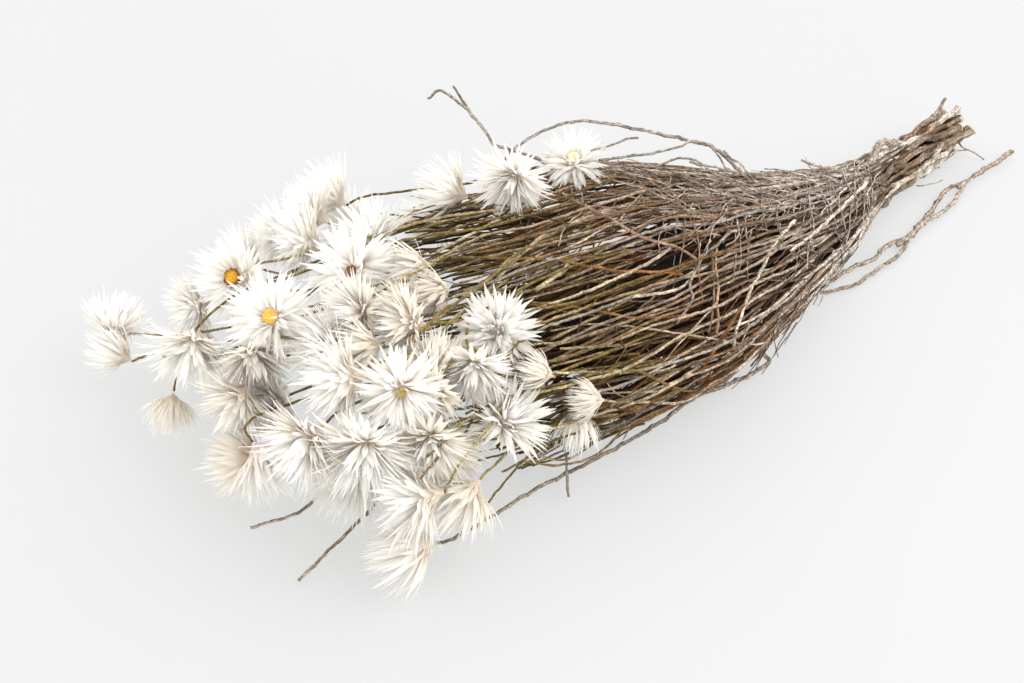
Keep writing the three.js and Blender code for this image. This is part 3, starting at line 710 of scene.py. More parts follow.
def head_bracts(head, rng):
    """All bracts of a head, and how far out in the spiral each one stands, from 0 to 1."""
    habit = HABITS[head.habit]
    n = habit["bracts"]
    t = (np.arange(n) + 0.5) / n
    around = np.arange(n) * GOLDEN + rng.normal(0, TURN_STRAY, n)
    lean = np.interp(t, LEAN_AT, LEAN)
    inner = max(habit["inner"], DISC_LEAN * head.disc)
    polar = np.radians(inner + (habit["outer"] - inner) * lean + rng.normal(0, LEAN_STRAY, n))
    out = clumped(head.towards(polar, around), head, rng)
    share = np.interp(t, LONG_AT, (habit["short"], *LONG, habit["last"]))
    wanted = head.reach * share * (1 + rng.normal(0, LONG_STRAY, n))
    length = room(head, out, wanted)
    inmost = max(head.disc * DISC_EDGE, LEAST_HOLLOW)
    wider = ROOT_OUT * head.knob - inmost
    hollow = inmost + wider * np.minimum(t * ROOT_QUICK, 1) * (1 - ROOT_IN * t)
    down = np.interp(t, ROOT_AT, (-habit["root"], *ROOT_DOWN)) * head.knob
    radial = head.radial(around)
    root = head.middle + radial * hollow[:, None] - head.axis * down[:, None]
    tip = head.middle + out * length[:, None]
    span = np.linalg.norm(tip - root, axis=1)
    rise = head.towards(polar * habit["arch"], around + rng.normal(0, RISE_STRAY, n))
    bend = root + rise * (0.5 * span)[:, None] + rng.normal(0, CURL, (n, 3)) * span[:, None]
    side = np.cross(head.axis, radial)
    twist = rng.normal(0, TWIST, n)[:, None]
    side = unit(side + twist * np.cross(out, side))
    width = BRACT_WIDE * NARROW.get(head.habit, 1.0) * np.sqrt(span / WIDE_WHEN)
    width = width * np.interp(t, WIDE_AT, WIDE) * (1 + rng.normal(0, WIDE_STRAY, n))
    cup = LEAST_CUP + MORE_CUP * rng.random(n)
    return blades(root, bend, tip, side, width, cup, rng), t


# %% [markdown]
# ## Scales and knob
#
# Below the bracts sit short cream scales that stand off the knob like thorns. They are the same
# blades, shorter and stiffer. The knob itself is a small spindle of rings that runs down to the
# stem, and it closes the head where one looks in between the bracts.

# %% The scales of a head
SCALES = 26
SCALE_DOWN, SCALE_OUT = (0.70, 0.45), (0.46, 0.6)
SCALE_LONG, SCALE_STRAY = (1.35, 0.55), 0.15
SCALE_SPREAD, SCALE_TIP_UP, SCALE_BEND_UP = (0.8, 1.5), 0.75, 0.9
SCALE_WIDE, SCALE_CUP = (1.2, 2.0), 0.15


def head_scales(head, rng):
    """Short cream scales round the knob, from just below the bracts down to the stem."""
    t = (np.arange(SCALES) + 0.5) / SCALES
    around = np.arange(SCALES) * GOLDEN + rng.normal(0, SCALE_STRAY, SCALES)
    radial = head.radial(around)
    low = head.knob * (SCALE_DOWN[0] + SCALE_DOWN[1] * t)
    out = head.knob * SCALE_OUT[0] * (1 - SCALE_OUT[1] * t)
    root = head.middle - head.axis * low[:, None] + radial * out[:, None]
    length = head.knob * (SCALE_LONG[0] - SCALE_LONG[1] * t)
    length = length * (1 + rng.normal(0, SCALE_STRAY, SCALES))
    spread = rng.uniform(*SCALE_SPREAD, SCALES)[:, None]
    tip = root + unit(head.axis * SCALE_TIP_UP + radial * spread) * length[:, None]
    bend = root + unit(head.axis * SCALE_BEND_UP + radial) * (0.5 * length)[:, None]
    tip = kept_above(tip, TABLE_GAP)
    side = np.cross(head.axis, radial)
    width = rng.uniform(*SCALE_WIDE, SCALES)
    return blades(root, bend, tip, side, width, np.full(SCALES, SCALE_CUP), rng)


# %% A finished head
KNOB_ALONG = [(-1.30, 0.12), (-1.15, 0.18), (-0.95, 0.30), (-0.65, 0.42),
              (-0.3, 0.50), (0.05, 0.50), (0.35, 0.42), (0.6, 0.22)]
KNOB_PALE = np.array([0.05, 0.06, 0.08, 0.10, 0.14, 0.3, 0.45, 0.6])
KNOB_SIDES = 12
KNOB_PINK = 0.3
CREAM = 0.4
SCALE_ALONG, SCALE_RUN = 0.12, 0.3
WARMER_OUT, WARM_FROM, WARM_STRAY = 0.35, 0.6, 0.10
HEAD_SEED = 1000
HEAD_SHARP = 70


def head_knob(head):
    """The closed knob that the bracts grow from, down to the stem."""
    around = np.arange(KNOB_SIDES) / KNOB_SIDES * 2 * math.pi
    rings = [head.middle + head.axis * (up * head.knob) + head.radial(around) * (wide * head.knob)
             for up, wide in KNOB_ALONG]
    return np.stack(rings)


def make_head(head, warm, pink):
    rng = np.random.default_rng(HEAD_SEED + head.number)
    skin = Skin()
    grid, t = head_bracts(head, rng)
    along = np.repeat(ROWS, 4)[None, :]
    across = np.tile([-1.0, 0.0, 1.0, 0.0], len(ROWS))[None, :]
    shade = rng.random(len(grid))[:, None]
    own_warm = warm + WARMER_OUT * (t - WARM_FROM) + rng.normal(0, WARM_STRAY, len(t))
    skin.sheets(kept_above(grid, TABLE_GAP), BLADE, along=along, across=across, shade=shade,
                warm=np.clip(own_warm, 0, 1)[:, None], pink=pink)
    scales = kept_above(head_scales(head, rng), TABLE_GAP)
    skin.sheets(scales, BLADE, along=SCALE_ALONG + along * SCALE_RUN, across=across,
                shade=rng.random(SCALES)[:, None], warm=CREAM, pink=pink)
    skin.rings(head_knob(head), along=KNOB_PALE, across=0.0, shade=0.5, warm=CREAM, pink=KNOB_PINK)
    label = f"{head.number:02d}"
    make_piece(f"bracts_{label}", skin, paper.material, "bract_paper", f"head_{label}",
               sharp=HEAD_SHARP)


# %% All heads
WARM_HEADS = {3: 0.35, 19: 0.4, 23: 0.35, 24: 0.2, 25: 0.35, 30: 0.3, 31: 0.35, 32: 0.25,
              33: 0.4, 36: 0.3, 39: 0.3, 40: 0.25, 41: 0.3, 43: 0.45, 44: 0.3, 17: 0.3,
              18: 0.4, 42: 0.3, 14: 0.15, 37: 0.15}
PINK_HEADS = {20: 0.5, 22: 0.8, 28: 0.9, 33: 1.4, 26: 0.7, 27: 0.8, 34: 1.0, 43: 1.0, 19: 0.6}
OTHER_WARM, OTHER_PINK = 0.08, 0.25

for head in heads:
    warm = WARM_HEADS.get(head.number, OTHER_WARM)
    make_head(head, warm, PINK_HEADS.get(head.number, OTHER_PINK))
print("bracts:", sum(pieces_made.values()), "triangles in", len(pieces_made), "heads")

# %% [markdown]
# ## The yellow middles
#
# Five heads have opened far enough to show their disc: a low cushion of tiny tubular florets,
# some darker towards the rim. Five more show a speck of it between their bracts. The florets
# stand in the same golden spiral as the bracts, each a small closed bud, on a dome that closes
# the disc below. Discs age each in their own way, so each has its own two colours, for the middle
# and the rim; the dark rim of head 5 is painted shade, where its cupped bracts shadow the disc.

# %% Floret finish
FLORET_COLOURS = {
    # Head 5's dark rim colour is painted shade from the bracts cupped over its disc.
    5: ((0.78, 0.44, 0.03), (0.16, 0.06, 0.015)),
    7: ((0.86, 0.60, 0.13), (0.80, 0.50, 0.12)),
    9: ((0.34, 0.19, 0.07), (0.16, 0.08, 0.03)),
    16: ((0.74, 0.64, 0.38), (0.86, 0.80, 0.64)),
    27: ((0.42, 0.36, 0.11), (0.55, 0.46, 0.20)),
    12: ((0.36, 0.30, 0.10), (0.50, 0.42, 0.20)),
    29: ((0.42, 0.35, 0.12), (0.55, 0.45, 0.22)),
    30: ((0.62, 0.33, 0.08), (0.50, 0.30, 0.14)),
    31: ((0.62, 0.46, 0.26), (0.55, 0.38, 0.22)),
    40: ((0.50, 0.24, 0.06), (0.58, 0.38, 0.20)),
}
MIDDLE_UP_TO, RIM_FROM = 0.45, 0.95
DOWN_SCALE, DOWN_LIGHT = 1500.0, [(0.3, 0.7), (0.7, 1.3)]
DOWN_ROUGH, DOWN_HEIGHT, DOWN_STRENGTH = (0.7, 0.95), 0.0002, 0.6


def floret_finish(number):
    middle, rim = FLORET_COLOURS[number]
    down = Nodes(f"disc_florets_{number:02d}")
    grain = down.noise(down.where(), DOWN_SCALE, detail=2.0)
    to_rim = down.ramp(down.number("across"), [(MIDDLE_UP_TO, middle), (RIM_FROM, rim)])
    down.colour(down.times(to_rim, down.ramp(grain, DOWN_LIGHT)))
    down.roughness(grain, *DOWN_ROUGH)
    down.bump(grain, DOWN_HEIGHT, DOWN_STRENGTH)
    return down.material


print("floret colours for heads", sorted(FLORET_COLOURS))


# %% The florets
FLORETS = 90
SMALL_FLORETS, SMALL_FLORET = 24, 0.62
OPENED = (5, 7, 9, 16, 27)
FLORET_SIDES = 5
FLORET_UP = [(0.0, 0.42), (0.7, 0.46), (1.2, 0.30), (1.4, 0.0001)]
DOME = [(0.0, 0.55), (0.2, 1.0), (0.9, 0.97), (1.35, 0.6), (1.5, 0.15)]
DOME_RIM = np.array([1.0, 1.0, 0.95, 0.5, 0.0])
DOME_SIDES = 14
DISC_SEAT, DISC_INSET = 0.45, 0.3
CUSHION_HIGH, CUSHION_FALL = 1.0, 0.9
FLORET_LEAN, FLORET_STRAY, FLORET_UNEVEN = 0.5, 0.08, 0.12
DISC_SEED = 2000


def make_disc(head):
    rng = np.random.default_rng(DISC_SEED + head.number)
    seat = head.middle + head.axis * (DISC_SEAT * head.knob)
    wide_disc = head.disc - DISC_INSET
    small = head.number not in OPENED
    count, scale = (SMALL_FLORETS, SMALL_FLORET) if small else (FLORETS, 1.0)
    skin = Skin()
    around = np.arange(DOME_SIDES) / DOME_SIDES * 2 * math.pi
    dome = [seat + head.axis * up + head.radial(around) * (wide * wide_disc) for up, wide in DOME]
    skin.rings(np.stack(dome), across=DOME_RIM, shade=0.5)
    corner = np.arange(FLORET_SIDES) / FLORET_SIDES * 2 * math.pi
    for i in range(count):
        out = math.sqrt((i + 0.5) / count)
        radial = head.radial(np.array(i * GOLDEN))
        high = CUSHION_HIGH - CUSHION_FALL * out**2
        foot = seat + radial * (out * wide_disc) + head.axis * high
        stray = rng.normal(0, FLORET_STRAY, 3)
        lean = unit(head.axis + FLORET_LEAN * out * radial + stray)
        side = unit(np.cross(lean, head.across))
        over = np.cross(lean, side)
        ring = np.cos(corner)[:, None] * side + np.sin(corner)[:, None] * over
        size = scale * (1 + rng.normal(0, FLORET_UNEVEN))
        bud = [foot + lean * (up * size) + ring * (wide * size) for up, wide in FLORET_UP]
        skin.rings(np.stack(bud), across=out, shade=rng.random())
    label = f"{head.number:02d}"
    nodes = [] if small else [f"disc_{label}"]
    make_piece(f"florets_{label}", skin, floret_finish(head.number), "disc_florets", *nodes)


for head in heads:
    if head.disc:
        make_disc(head)
print("discs:", sum(1 for head in heads if head.disc))

# %% [markdown]
# ## The run of the bundle
#
# The bundle is narrow where it is gathered and swells towards the heads. A list of sections, the
# same as in the frame, gives its half width, half height and middle along its length, each as x,
# half width, half height, y and z. A stem is then a line that keeps roughly the same place in the
# section, `u` across and `v` up, while the section spreads, which is how a held bunch lies.

# %% Sections of the bundle
BUNDLE = np.array([
    (276, 14, 12, 22, 17), (240, 13, 12, 19, 14), (200, 15, 13, 10, 14), (170, 21, 16, 2, 16),
    (140, 33, 21, -6, 20), (100, 46, 28, -11, 26), (60, 61, 36, -15, 34), (20, 76, 44, -17, 41),
    (-40, 81, 46, -16, 43), (-100, 86, 46, -8, 45), (-240, 96, 46, 10, 45),
], float)[::-1]
CUT_END, HEAD_END = 266.0, -210.0
UP = np.array([0.0, 0.0, 1.0])


def section(x):
    """Half width, half height and middle (y, z) of the bundle at x."""
    return [np.interp(x, BUNDLE[:, 0], column) for column in BUNDLE.T[1:]]


def flow(x, u, v):
    """Points along x that keep the place (u, v) in the section."""
    x = np.asarray(x, float)
    a, b, y, z = section(x)
    return np.stack([x + 0 * u, y + a * u, z + b * v], axis=-1)


def place_in(points):
    """The place (u, v) in the section where each point lies."""
    a, b, y, z = section(points[..., 0])
    return (points[..., 1] - y) / a, (points[..., 2] - z) / b


def depth_in(points):
    """How far out in the section each point lies: 0 in the middle, 1 at the surface."""
    return np.hypot(*place_in(points))


def run_of(points):
    """How far along from the cut ends to the heads, 0 to 1."""
    return np.clip((CUT_END - points[..., 0]) / (CUT_END - HEAD_END), 0, 1)


print("the bundle is", 2 * BUNDLE[:, 1].max(), "mm wide and", 2 * BUNDLE[:, 2].max(), "mm high")

# %% [markdown]
# ## The line of a stem
#
# Stems are laid out by a few points, given in lists or worked out from the section. `smooth_path`
# rounds them into an even line with a point every few millimetres, which the tube's rings need.
# It is a Catmull-Rom curve, chosen because it goes through every point that it is given. `waves`
# gives the slow swing that a grown stem has.


# %% Line helpers
def eased(t):
    """From 0 to 1 with a soft start and end."""
    return t * t * (3 - 2 * t)


def smooth_path(points, step):
    """A round line through the points, with a point every step millimetres."""
    points = np.asarray(points, float)
    ends = np.concatenate([[2 * points[0] - points[1]], points, [2 * points[-1] - points[-2]]])
    parts = []
    for p0, p1, p2, p3 in zip(ends, ends[1:], ends[2:], ends[3:]):
        n = max(2, int(np.linalg.norm(p2 - p1) / step))
        t = (np.arange(n) / n)[:, None]
        parts.append(0.5 * (2 * p1 + (p2 - p0) * t + (2 * p0 - 5 * p1 + 4 * p2 - p3) * t**2
                            + (3 * p1 - p0 - 3 * p2 + p3) * t**3))
    return np.concatenate(parts + [points[-1:]])


SWING_PARTS = ((1.0, 1.0), (0.55, 0.43))


def waves(s, amount, length, rng):
    """A slow random swing in y and z along the distance s, of two waves laid together."""
    swing = np.zeros((len(s), 3))
    for share, shorter in SWING_PARTS:
        for axis in (1, 2):
            phase = rng.random() * 2 * math.pi
            wave = np.sin(s * 2 * math.pi / (length * shorter) + phase)
            swing[:, axis] += amount * share * wave
    return swing


KNEE = [(0, 0, 0), (9, 0, 0), (9, 9, 0)]
print("a knee of 18 mm becomes", len(smooth_path(KNEE, 3)), "points")

# %% [markdown]
# ## A stem's skin
#
# A stem is a tube, but never a smooth one. Every few millimetres sits the scar of a leaf, a small
# swelling on one side, and the line kinks slightly there. `bark_tube` draws the rings along a
# line and adds the kinks, the scars and the uneven girth. It also stores how deep each point lies
# in the bundle, for the painted shade inside. Where the stems part to the heads, daylight reaches
# them all, and the painted shade fades out.

# %% A stem's skin
OPEN_AIR, OPENS_OVER = -50.0, 50.0
SCAR_GAP = 6.5
SCAR_LONG, SCAR_STRAY, SCAR_SWELL = 1.5, 1.2, 0.35
STEEP = 0.25
STEM_KINK, STEM_ROUGH = 0.22, 0.12


def daylight(points):
    """How much light has reached each point of a stem."""
    opened = np.clip((OPEN_AIR - points[:, 0]) / OPENS_OVER, 0, 1)
    return np.maximum(depth_in(points), opened)


def bark_tube(skin, points, start_r, end_r, rng, shade, sides=6, kink=STEM_KINK,
              rough=STEM_ROUGH, cut=False):
    """Adds one stem along points to the skin, its radius running from start_r to end_r."""
    steps = np.linalg.norm(np.diff(points, axis=0), axis=1)
    s = np.concatenate([[0], np.cumsum(steps)])
    tangent = unit(np.gradient(points, axis=0))
    side = np.cross(UP, tangent)
    steep = np.linalg.norm(side, axis=1) < STEEP
    side[steep] = np.cross([0.0, 1.0, 0.0], tangent[steep])
    side = unit(side)[:, None]
    over = np.cross(tangent, side[:, 0])[:, None]
    scars = np.arange(rng.random() * SCAR_GAP, s[-1], SCAR_GAP)
    scars += rng.normal(0, SCAR_STRAY, len(scars))
    turn = np.arange(len(scars)) * GOLDEN + rng.random() * ANY_TURN_START
    angle = np.arange(sides) / sides * 2 * math.pi + rng.random() * ANY_TURN_START
    near = np.exp(-((s[:, None] - scars[None, :]) / SCAR_LONG) ** 2)
    facing = np.maximum(np.cos(angle[:, None] - turn[None, :]), 0)
    bumps = near @ facing.T
    radius = np.linspace(start_r, end_r, len(points))
    bend = (near @ np.stack([np.cos(turn), np.sin(turn)], axis=1) * kink)[:, None]
    centre = points[:, None] + side * bend[..., :1] + over * bend[..., 1:]
    uneven = rng.normal(0, rough, (len(points), sides))
    r = radius[:, None] * (1 + SCAR_SWELL * bumps + uneven)
    ring = np.cos(angle)[None, :, None] * side + np.sin(angle)[None, :, None] * over
    rings = kept_above(centre + ring * r[..., None], TABLE_GAP)
    ends = np.zeros(len(points))
    ends[0] = 1.0 if cut else 0.0
    across = np.abs(2 * np.arange(sides) / sides - 1)[None, :]
    skin.rings(rings, along=run_of(points), across=across, shade=shade, cut=ends,
               deep=daylight(points))


print("a scar every", SCAR_GAP, "mm")

# %% [markdown]
# ## The woody branches
#
# At the cut ends there are no thin stems yet: some thirty grey, twisted branches lie packed side
# by side. They are set in the section by the golden angle, which fills it evenly, and they wander
# a little as they run. Each one forks into thin stems further on.

# %% Woody branches
TRUNKS = 34
TRUNK_R, TRUNK_END_R = 2.0, 1.1
TRUNK_GIRTH, TRUNK_TAPER = (0.75, 1.3), 0.8
TRUNK_PACKING = 0.93
TRUNK_STOPS, TRUNK_POINTS = (95, 150), 13
TRUNK_WANDER, WANDER_LONG = 0.15, 75.0
TRUNK_TWIST, TWIST_LONG = 0.35, 26.0
TRUNK_STEP = 1.6
CUT_RAGGED = 9.0
TRUNK_SHADES = (0.28, 0.40, 0.48, 0.60, 0.70, 0.78, 0.84, 0.92)
TRUNK_SHARP = 60
TRUNK_SEED = 7

rng = np.random.default_rng(TRUNK_SEED)
trunk_skin = Skin()
trunks = []
for k in range(TRUNKS):
    out = TRUNK_PACKING * math.sqrt((k + 0.5) / TRUNKS)
    u0, v0 = out * math.cos(k * GOLDEN), out * math.sin(k * GOLDEN)
    cut_x = CUT_END + rng.normal(0, CUT_RAGGED / 2)
    x = np.linspace(cut_x, rng.uniform(*TRUNK_STOPS), TRUNK_POINTS)
    drift = waves(CUT_END - x, TRUNK_WANDER, WANDER_LONG, rng)
    u, v = u0 + drift[:, 1], v0 + drift[:, 2]
    scale = np.minimum(1, 1.0 / np.maximum(np.hypot(u, v), SMALL))
    line = kept_above(flow(x, u * scale, v * scale), TRUNK_R)
    path = smooth_path(line, TRUNK_STEP)
    path += waves(CUT_END - path[:, 0], TRUNK_TWIST, TWIST_LONG, rng)
    thick = TRUNK_R * rng.uniform(*TRUNK_GIRTH)
    trunks.append({"u": u0, "v": v0, "line": line})
    bark_tube(trunk_skin, path, thick, TRUNK_END_R * TRUNK_TAPER, rng, rng.choice(TRUNK_SHADES),
              sides=10, kink=0.35, rough=0.06, cut=True)
make_piece("woody_branches", trunk_skin, bark.material, "stem_wood", "stems_bundle",
           sharp=TRUNK_SHARP)
cuts = [round(trunk["line"][0, 0]) for trunk in trunks]
print("woody branches:", len(trunks), "cut between x", min(cuts), "and", max(cuts), "mm")

# %% [markdown]
# ## Where a thin stem runs
#
# A thin stem leaves its branch somewhere past the gathered part, spreads to its own place in the
# bundle and keeps it, drifting slowly so that neighbours cross. `steer` then bends it round the
# knobs of the heads that it passes, so no stem runs through a head. It pushes the corners of the
# line a little further off each time, so a few passes are enough.

# %% Round the heads
STEM_R, TWIG_R = 0.85, 0.6
STEM_LIES, TWIG_LIES = STEM_R + 0.4, TWIG_R + 0.5
FACE_OUT, FACE_R = 0.5, 0.45
STEER_PASSES, STEER_CLEAR = 8, 1.0
KNOBS = np.array([head.middle for head in heads])
KNOB_R = np.array([head.knob for head in heads])
FACES = np.array([head.middle + head.axis * FACE_OUT * head.reach for head in heads])
FACES_R = np.array([head.reach * FACE_R for head in heads])


def steer(points, own=None, faces=True):
    """Bends a route round the knobs of the heads, and round the middles of their faces too."""
    points = points.copy()
    middles, radii = KNOBS, KNOB_R
    if faces:
        middles, radii = np.concatenate([KNOBS, FACES]), np.concatenate([KNOB_R, FACES_R])
    for _ in range(STEER_PASSES):
        a, b = points[:-1, None], points[1:, None]
        ab = b - a
        t = np.sum((middles - a) * ab, -1) / np.maximum(np.sum(ab * ab, -1), TINY)
        t = np.clip(t, 0, 1)
        away = a + ab * t[..., None] - middles
        push = np.maximum(radii + STEM_R + STEER_CLEAR - np.linalg.norm(away, axis=-1), 0)
        if own is not None:
            push[:, own :: len(heads)] = 0
        move = unit(away) * push[..., None]
        shift = np.zeros_like(points)
        shift[:-1] += (move * (1 - t)[..., None]).sum(1)
        shift[1:] += (move * t[..., None]).sum(1)
        points[1:-1] += shift[1:-1]
        points = kept_above(points, TWIG_LIES)
    return points


print("to steer round:", len(KNOBS), "knobs, the largest", round(2 * KNOB_R.max(), 1), "mm wide")

# %% From a branch to its place
BRANCH_SHARE, BRANCH_CHANCE = 0.9, 0.45
FIRST_FORK, LAST_FORK = 4, 2
ROUTE_SPACING = 16.0
SPREADS_OVER = 110.0
STEM_WANDER, STEM_WANDER_LONG = 0.022, 150.0


def nearest_trunk(u, v, rng):
    gaps = [math.hypot(trunk["u"] - BRANCH_SHARE * u, trunk["v"] - BRANCH_SHARE * v)
            + rng.random() * BRANCH_CHANCE for trunk in trunks]
    return trunks[int(np.argmin(gaps))]


def spread_out(u, v, end_x, rng, drift):
    """From its branch to end_x, at place (u, v) of the section once it has spread."""
    line = nearest_trunk(u, v, rng)["line"]
    fork = line[rng.integers(FIRST_FORK, len(line) - LAST_FORK)]
    x0 = fork[0]
    u0, v0 = place_in(fork)
    x = np.linspace(x0, end_x, max(4, int((x0 - end_x) / ROUTE_SPACING)))
    part = eased(np.clip((x0 - x) / SPREADS_OVER, 0, 1))
    angle = math.atan2(v, u) + drift * (eased((x0 - x) / max(x0 - end_x, 1)) - 0.5)
    out = math.hypot(u, v)
    swing = waves(x0 - x, STEM_WANDER, STEM_WANDER_LONG, rng)
    uu = u0 + (out * np.cos(angle) - u0) * part + swing[:, 1] * part
    vv = v0 + (out * np.sin(angle) - v0) * part + swing[:, 2] * part
    return kept_above(flow(x, uu, vv), STEM_LIES)


print("a stem spreads to its place over", SPREADS_OVER, "mm")

# %% From the bundle to a head
SEEN_FROM_X = -90.0
SURFACE, IN_VIEW_UP, IN_VIEW_FRONT = 0.78, -0.2, -0.4
ON_TOP, WELL_INSIDE = 1.03, 0.75
LEAVE_LAST, LEAVE_BEFORE, LEAVE_FIRST = -20.0, 70, -40.0
HEAD_STEM_DRIFT = 0.12
PULL_START, PULL_END, PULL_MOST = 0.4, 0.3, 18.0
SWING_SPACING = 12


def bezier(p0, p1, p2, p3, count):
    t = (np.arange(1, count + 1) / count)[:, None]
    return (1 - t) ** 3 * p0 + 3 * t * (1 - t) ** 2 * p1 + 3 * t**2 * (1 - t) * p2 + t**3 * p3


def head_route(head, rng):
    """A head's stem, from its branch into the bundle or along its top, to the head's foot."""
    a, b, y, z = section(max(head.foot[0], SEEN_FROM_X))
    u, v = (head.foot[1] - y) / a, (head.foot[2] - z) / b
    out = max(math.hypot(u, v), SMALL)
    shows = out > SURFACE and (v > IN_VIEW_UP or u < IN_VIEW_FRONT)
    rest = (ON_TOP if shows else min(out, WELL_INSIDE)) / out
    leave = max(min(LEAVE_LAST, head.foot[0] + LEAVE_BEFORE), LEAVE_FIRST)
    points = spread_out(u * rest, v * rest, leave, rng, rng.normal(0, HEAD_STEM_DRIFT))
    start, tangent = points[-1], unit(points[-1] - points[-2])
    span = np.linalg.norm(start - head.neck)
    ahead = start + tangent * span * PULL_START
    behind = head.neck - head.axis * min(span * PULL_END, PULL_MOST)
    swing = bezier(start, ahead, behind, head.neck, max(3, int(span / SWING_SPACING)))
    return steer(np.concatenate([points, swing, [head.foot]]), own=head.number - 1)


print("a stem leaves the bundle between x", LEAVE_FIRST, "and", LEAVE_LAST)


# %% [markdown]
# ## Stems that the picture shows
#
# Some stems can be followed by eye from the bundle to their head, or lie across the top. They are
# drawn as points on the picture. A point on a picture is only a line of sight, so each is carried
# along that line until it meets the bundle's surface, and lies there, seen from any side.

# %% From picture points to the bundle's surface
PICTURE_WIDE, PICTURE_HIGH = 1024, 683
FOCAL = LENS / SENSOR * PICTURE_WIDE
EYE = np.array(camera.location) / MM + MIDDLE
BACK = np.array(back)
RIGHT = unit(np.cross(UP, BACK))
RISE = np.cross(BACK, RIGHT)
NEAR, FAR, PACE = 500.0, 1000.0, 1.0


def seen_at(px, py, depth):
    """The place that is seen at picture point (px, py), depth millimetres in front of the eye."""
    depth = np.asarray(depth, float)[..., None]
    sight = RIGHT * (px - PICTURE_WIDE / 2) / FOCAL + RISE * (PICTURE_HIGH / 2 - py) / FOCAL - BACK
    return EYE + sight * depth


def depth_of(point):
    return float((EYE - point) @ BACK)


def on_bundle(px, py, lift=1.0):
    """The bundle's surface as seen at (px, py), lift millimetres nearer to the eye."""
    places = seen_at(px, py, np.arange(NEAR, FAR, PACE))
    places = places[places[:, 2] > STEM_R]
    out = depth_in(places)
    inside = np.flatnonzero(out < 1.0)
    hit = inside[0] if len(inside) else int(np.argmin(out))
    return places[hit] + BACK * lift


MIDWAY = (612, 290)
print("at", MIDWAY, "on the picture the bundle is at", on_bundle(*MIDWAY).round(), "mm")

# %% [markdown]
# ## The thin stems
#
# Each head has its stem, and some more end among the heads, where the flowers have broken off or
# are too deep to see. They are gathered in a few pieces by where they lie, so that no piece grows
# too heavy. A head stem that can be followed by eye has a row of its own: how far its middle bows
# towards the eye, in millimetres, and its points on the picture. Over the back edge the bunch is
# loose, so most stems are left out there, and on its back they are painted pale, as painted light
# where the back is lit.

# %% Stems of the heads
SHOWN_STEMS = {
    1: (0, [(330, 300), (270, 318), (220, 329), (178, 334), (150, 335), (132, 334)]),
    2: (0, [(330, 345), (270, 352), (215, 354), (170, 354), (156, 353)]),
    4: (6, [(330, 262), (290, 277), (255, 286), (231, 298), (209, 315), (194, 332)]),
    5: (5, [(400, 228), (360, 240), (320, 250), (284, 259), (260, 264)]),
    8: (24, [(488, 234), (461, 246), (439, 259), (421, 270), (398, 281), (382, 291), (359, 308),
             (342, 330)]),
    10: (3, [(510, 176), (470, 183), (430, 188), (390, 193), (362, 197)]),
    12: (2, [(470, 193), (425, 207), (392, 226)]),
    23: (2, [(680, 398), (650, 402), (620, 402), (600, 400)]),
    24: (2, [(660, 388), (620, 404), (606, 410), (588, 418)]),
    25: (3, [(660, 365), (620, 373), (582, 372), (563, 373), (546, 373)]),
    35: (12, [(512, 402), (492, 426), (474, 446), (460, 464)]),
    36: (4, [(530, 436), (508, 452), (494, 466)]),
    42: (24, [(536, 240), (512, 257), (488, 281), (464, 298), (444, 309), (415, 327),
              (398, 339), (384, 348)]),
}
SHOWN_SHADES = (0.48, 0.56, 0.66, 0.90, 0.94)
HEAD_STEM_SHADES = (0.36, 1.0)
LOW_HEAD_NUMBER = 37
STRAIGHT_ENOUGH = 0.4
SECTORS = 4
STEM_STEP = 2.6
STEM_SEED = 11

rng = np.random.default_rng(STEM_SEED)
sector_skins = [Skin() for _ in range(SECTORS)]


def sector_of(points):
    """Which quarter of the bundle a stem lies in, by its place half way along."""
    u, v = place_in(points[len(points) // 2])
    turn = math.atan2(v, u) + math.pi
    return int(turn / (2 * math.pi) * SECTORS) % SECTORS


def shown_route(head, lift, pixels, rng):
    """A head's stem that passes the given picture points, in front of what it crosses there."""
    first = on_bundle(*pixels[0])
    hidden = spread_out(*place_in(first), first[0], rng, 0.0)
    # Stems deep in the bundle are painted darker and browner, as painted shade for the light that
    # hardly reaches them there.
    t = np.linspace(0, 1, len(pixels) + 1)[1:-1]
    start, end = depth_of(first), depth_of(head.neck)
    depths = start + (end - start) * t - 4 * lift * t * (1 - t)
    shown = [seen_at(px, py, depth) for (px, py), depth in zip(pixels[1:], depths)]
    onwards = unit(head.neck - shown[-1]) @ unit(head.foot - head.neck)
    last = [head.neck, head.foot] if onwards > STRAIGHT_ENOUGH else [head.foot]
    points = kept_above(np.concatenate([hidden, shown, last]), STEM_LIES)
    return steer(points, own=head.number - 1, faces=False)


for head in heads:
    if head.number == LOW_HEAD_NUMBER:
        continue
    if head.number in SHOWN_STEMS:
        route = shown_route(head, *SHOWN_STEMS[head.number], rng)
        shade = rng.choice(SHOWN_SHADES)
    else:
        route, shade = head_route(head, rng), rng.uniform(*HEAD_STEM_SHADES)
    path = smooth_path(route, STEM_STEP)
    bark_tube(sector_skins[sector_of(path)], path, STEM_R, TWIG_R, rng, shade)
print("stems of heads:", len(heads) - 1, "of which", len(SHOWN_STEMS), "follow the picture")

# %% Where stems are few or pale
THIN_FROM, THIN_SIDE, THIN_SHARE = 110.0, 0.53, 0.30
# The pale draws on the back of the bundle are painted light, where the back is lit.
PAINTED_LIGHT_SHADES, PAINTED_LIGHT_FROM, PAINTED_LIGHT_SHARE = (0.84, 1.0), -10.0, 0.9
PAINTED_LIGHT_SIDE, PAINTED_LIGHT_UP = -0.1, 0.25


def too_full(path, rng):
    """Over the back edge, towards the heads, the bundle is so loose that the table shows."""
    mid = path[len(path) // 2]
    u, v = place_in(mid)
    return mid[0] < THIN_FROM and u > THIN_SIDE and rng.random() > THIN_SHARE


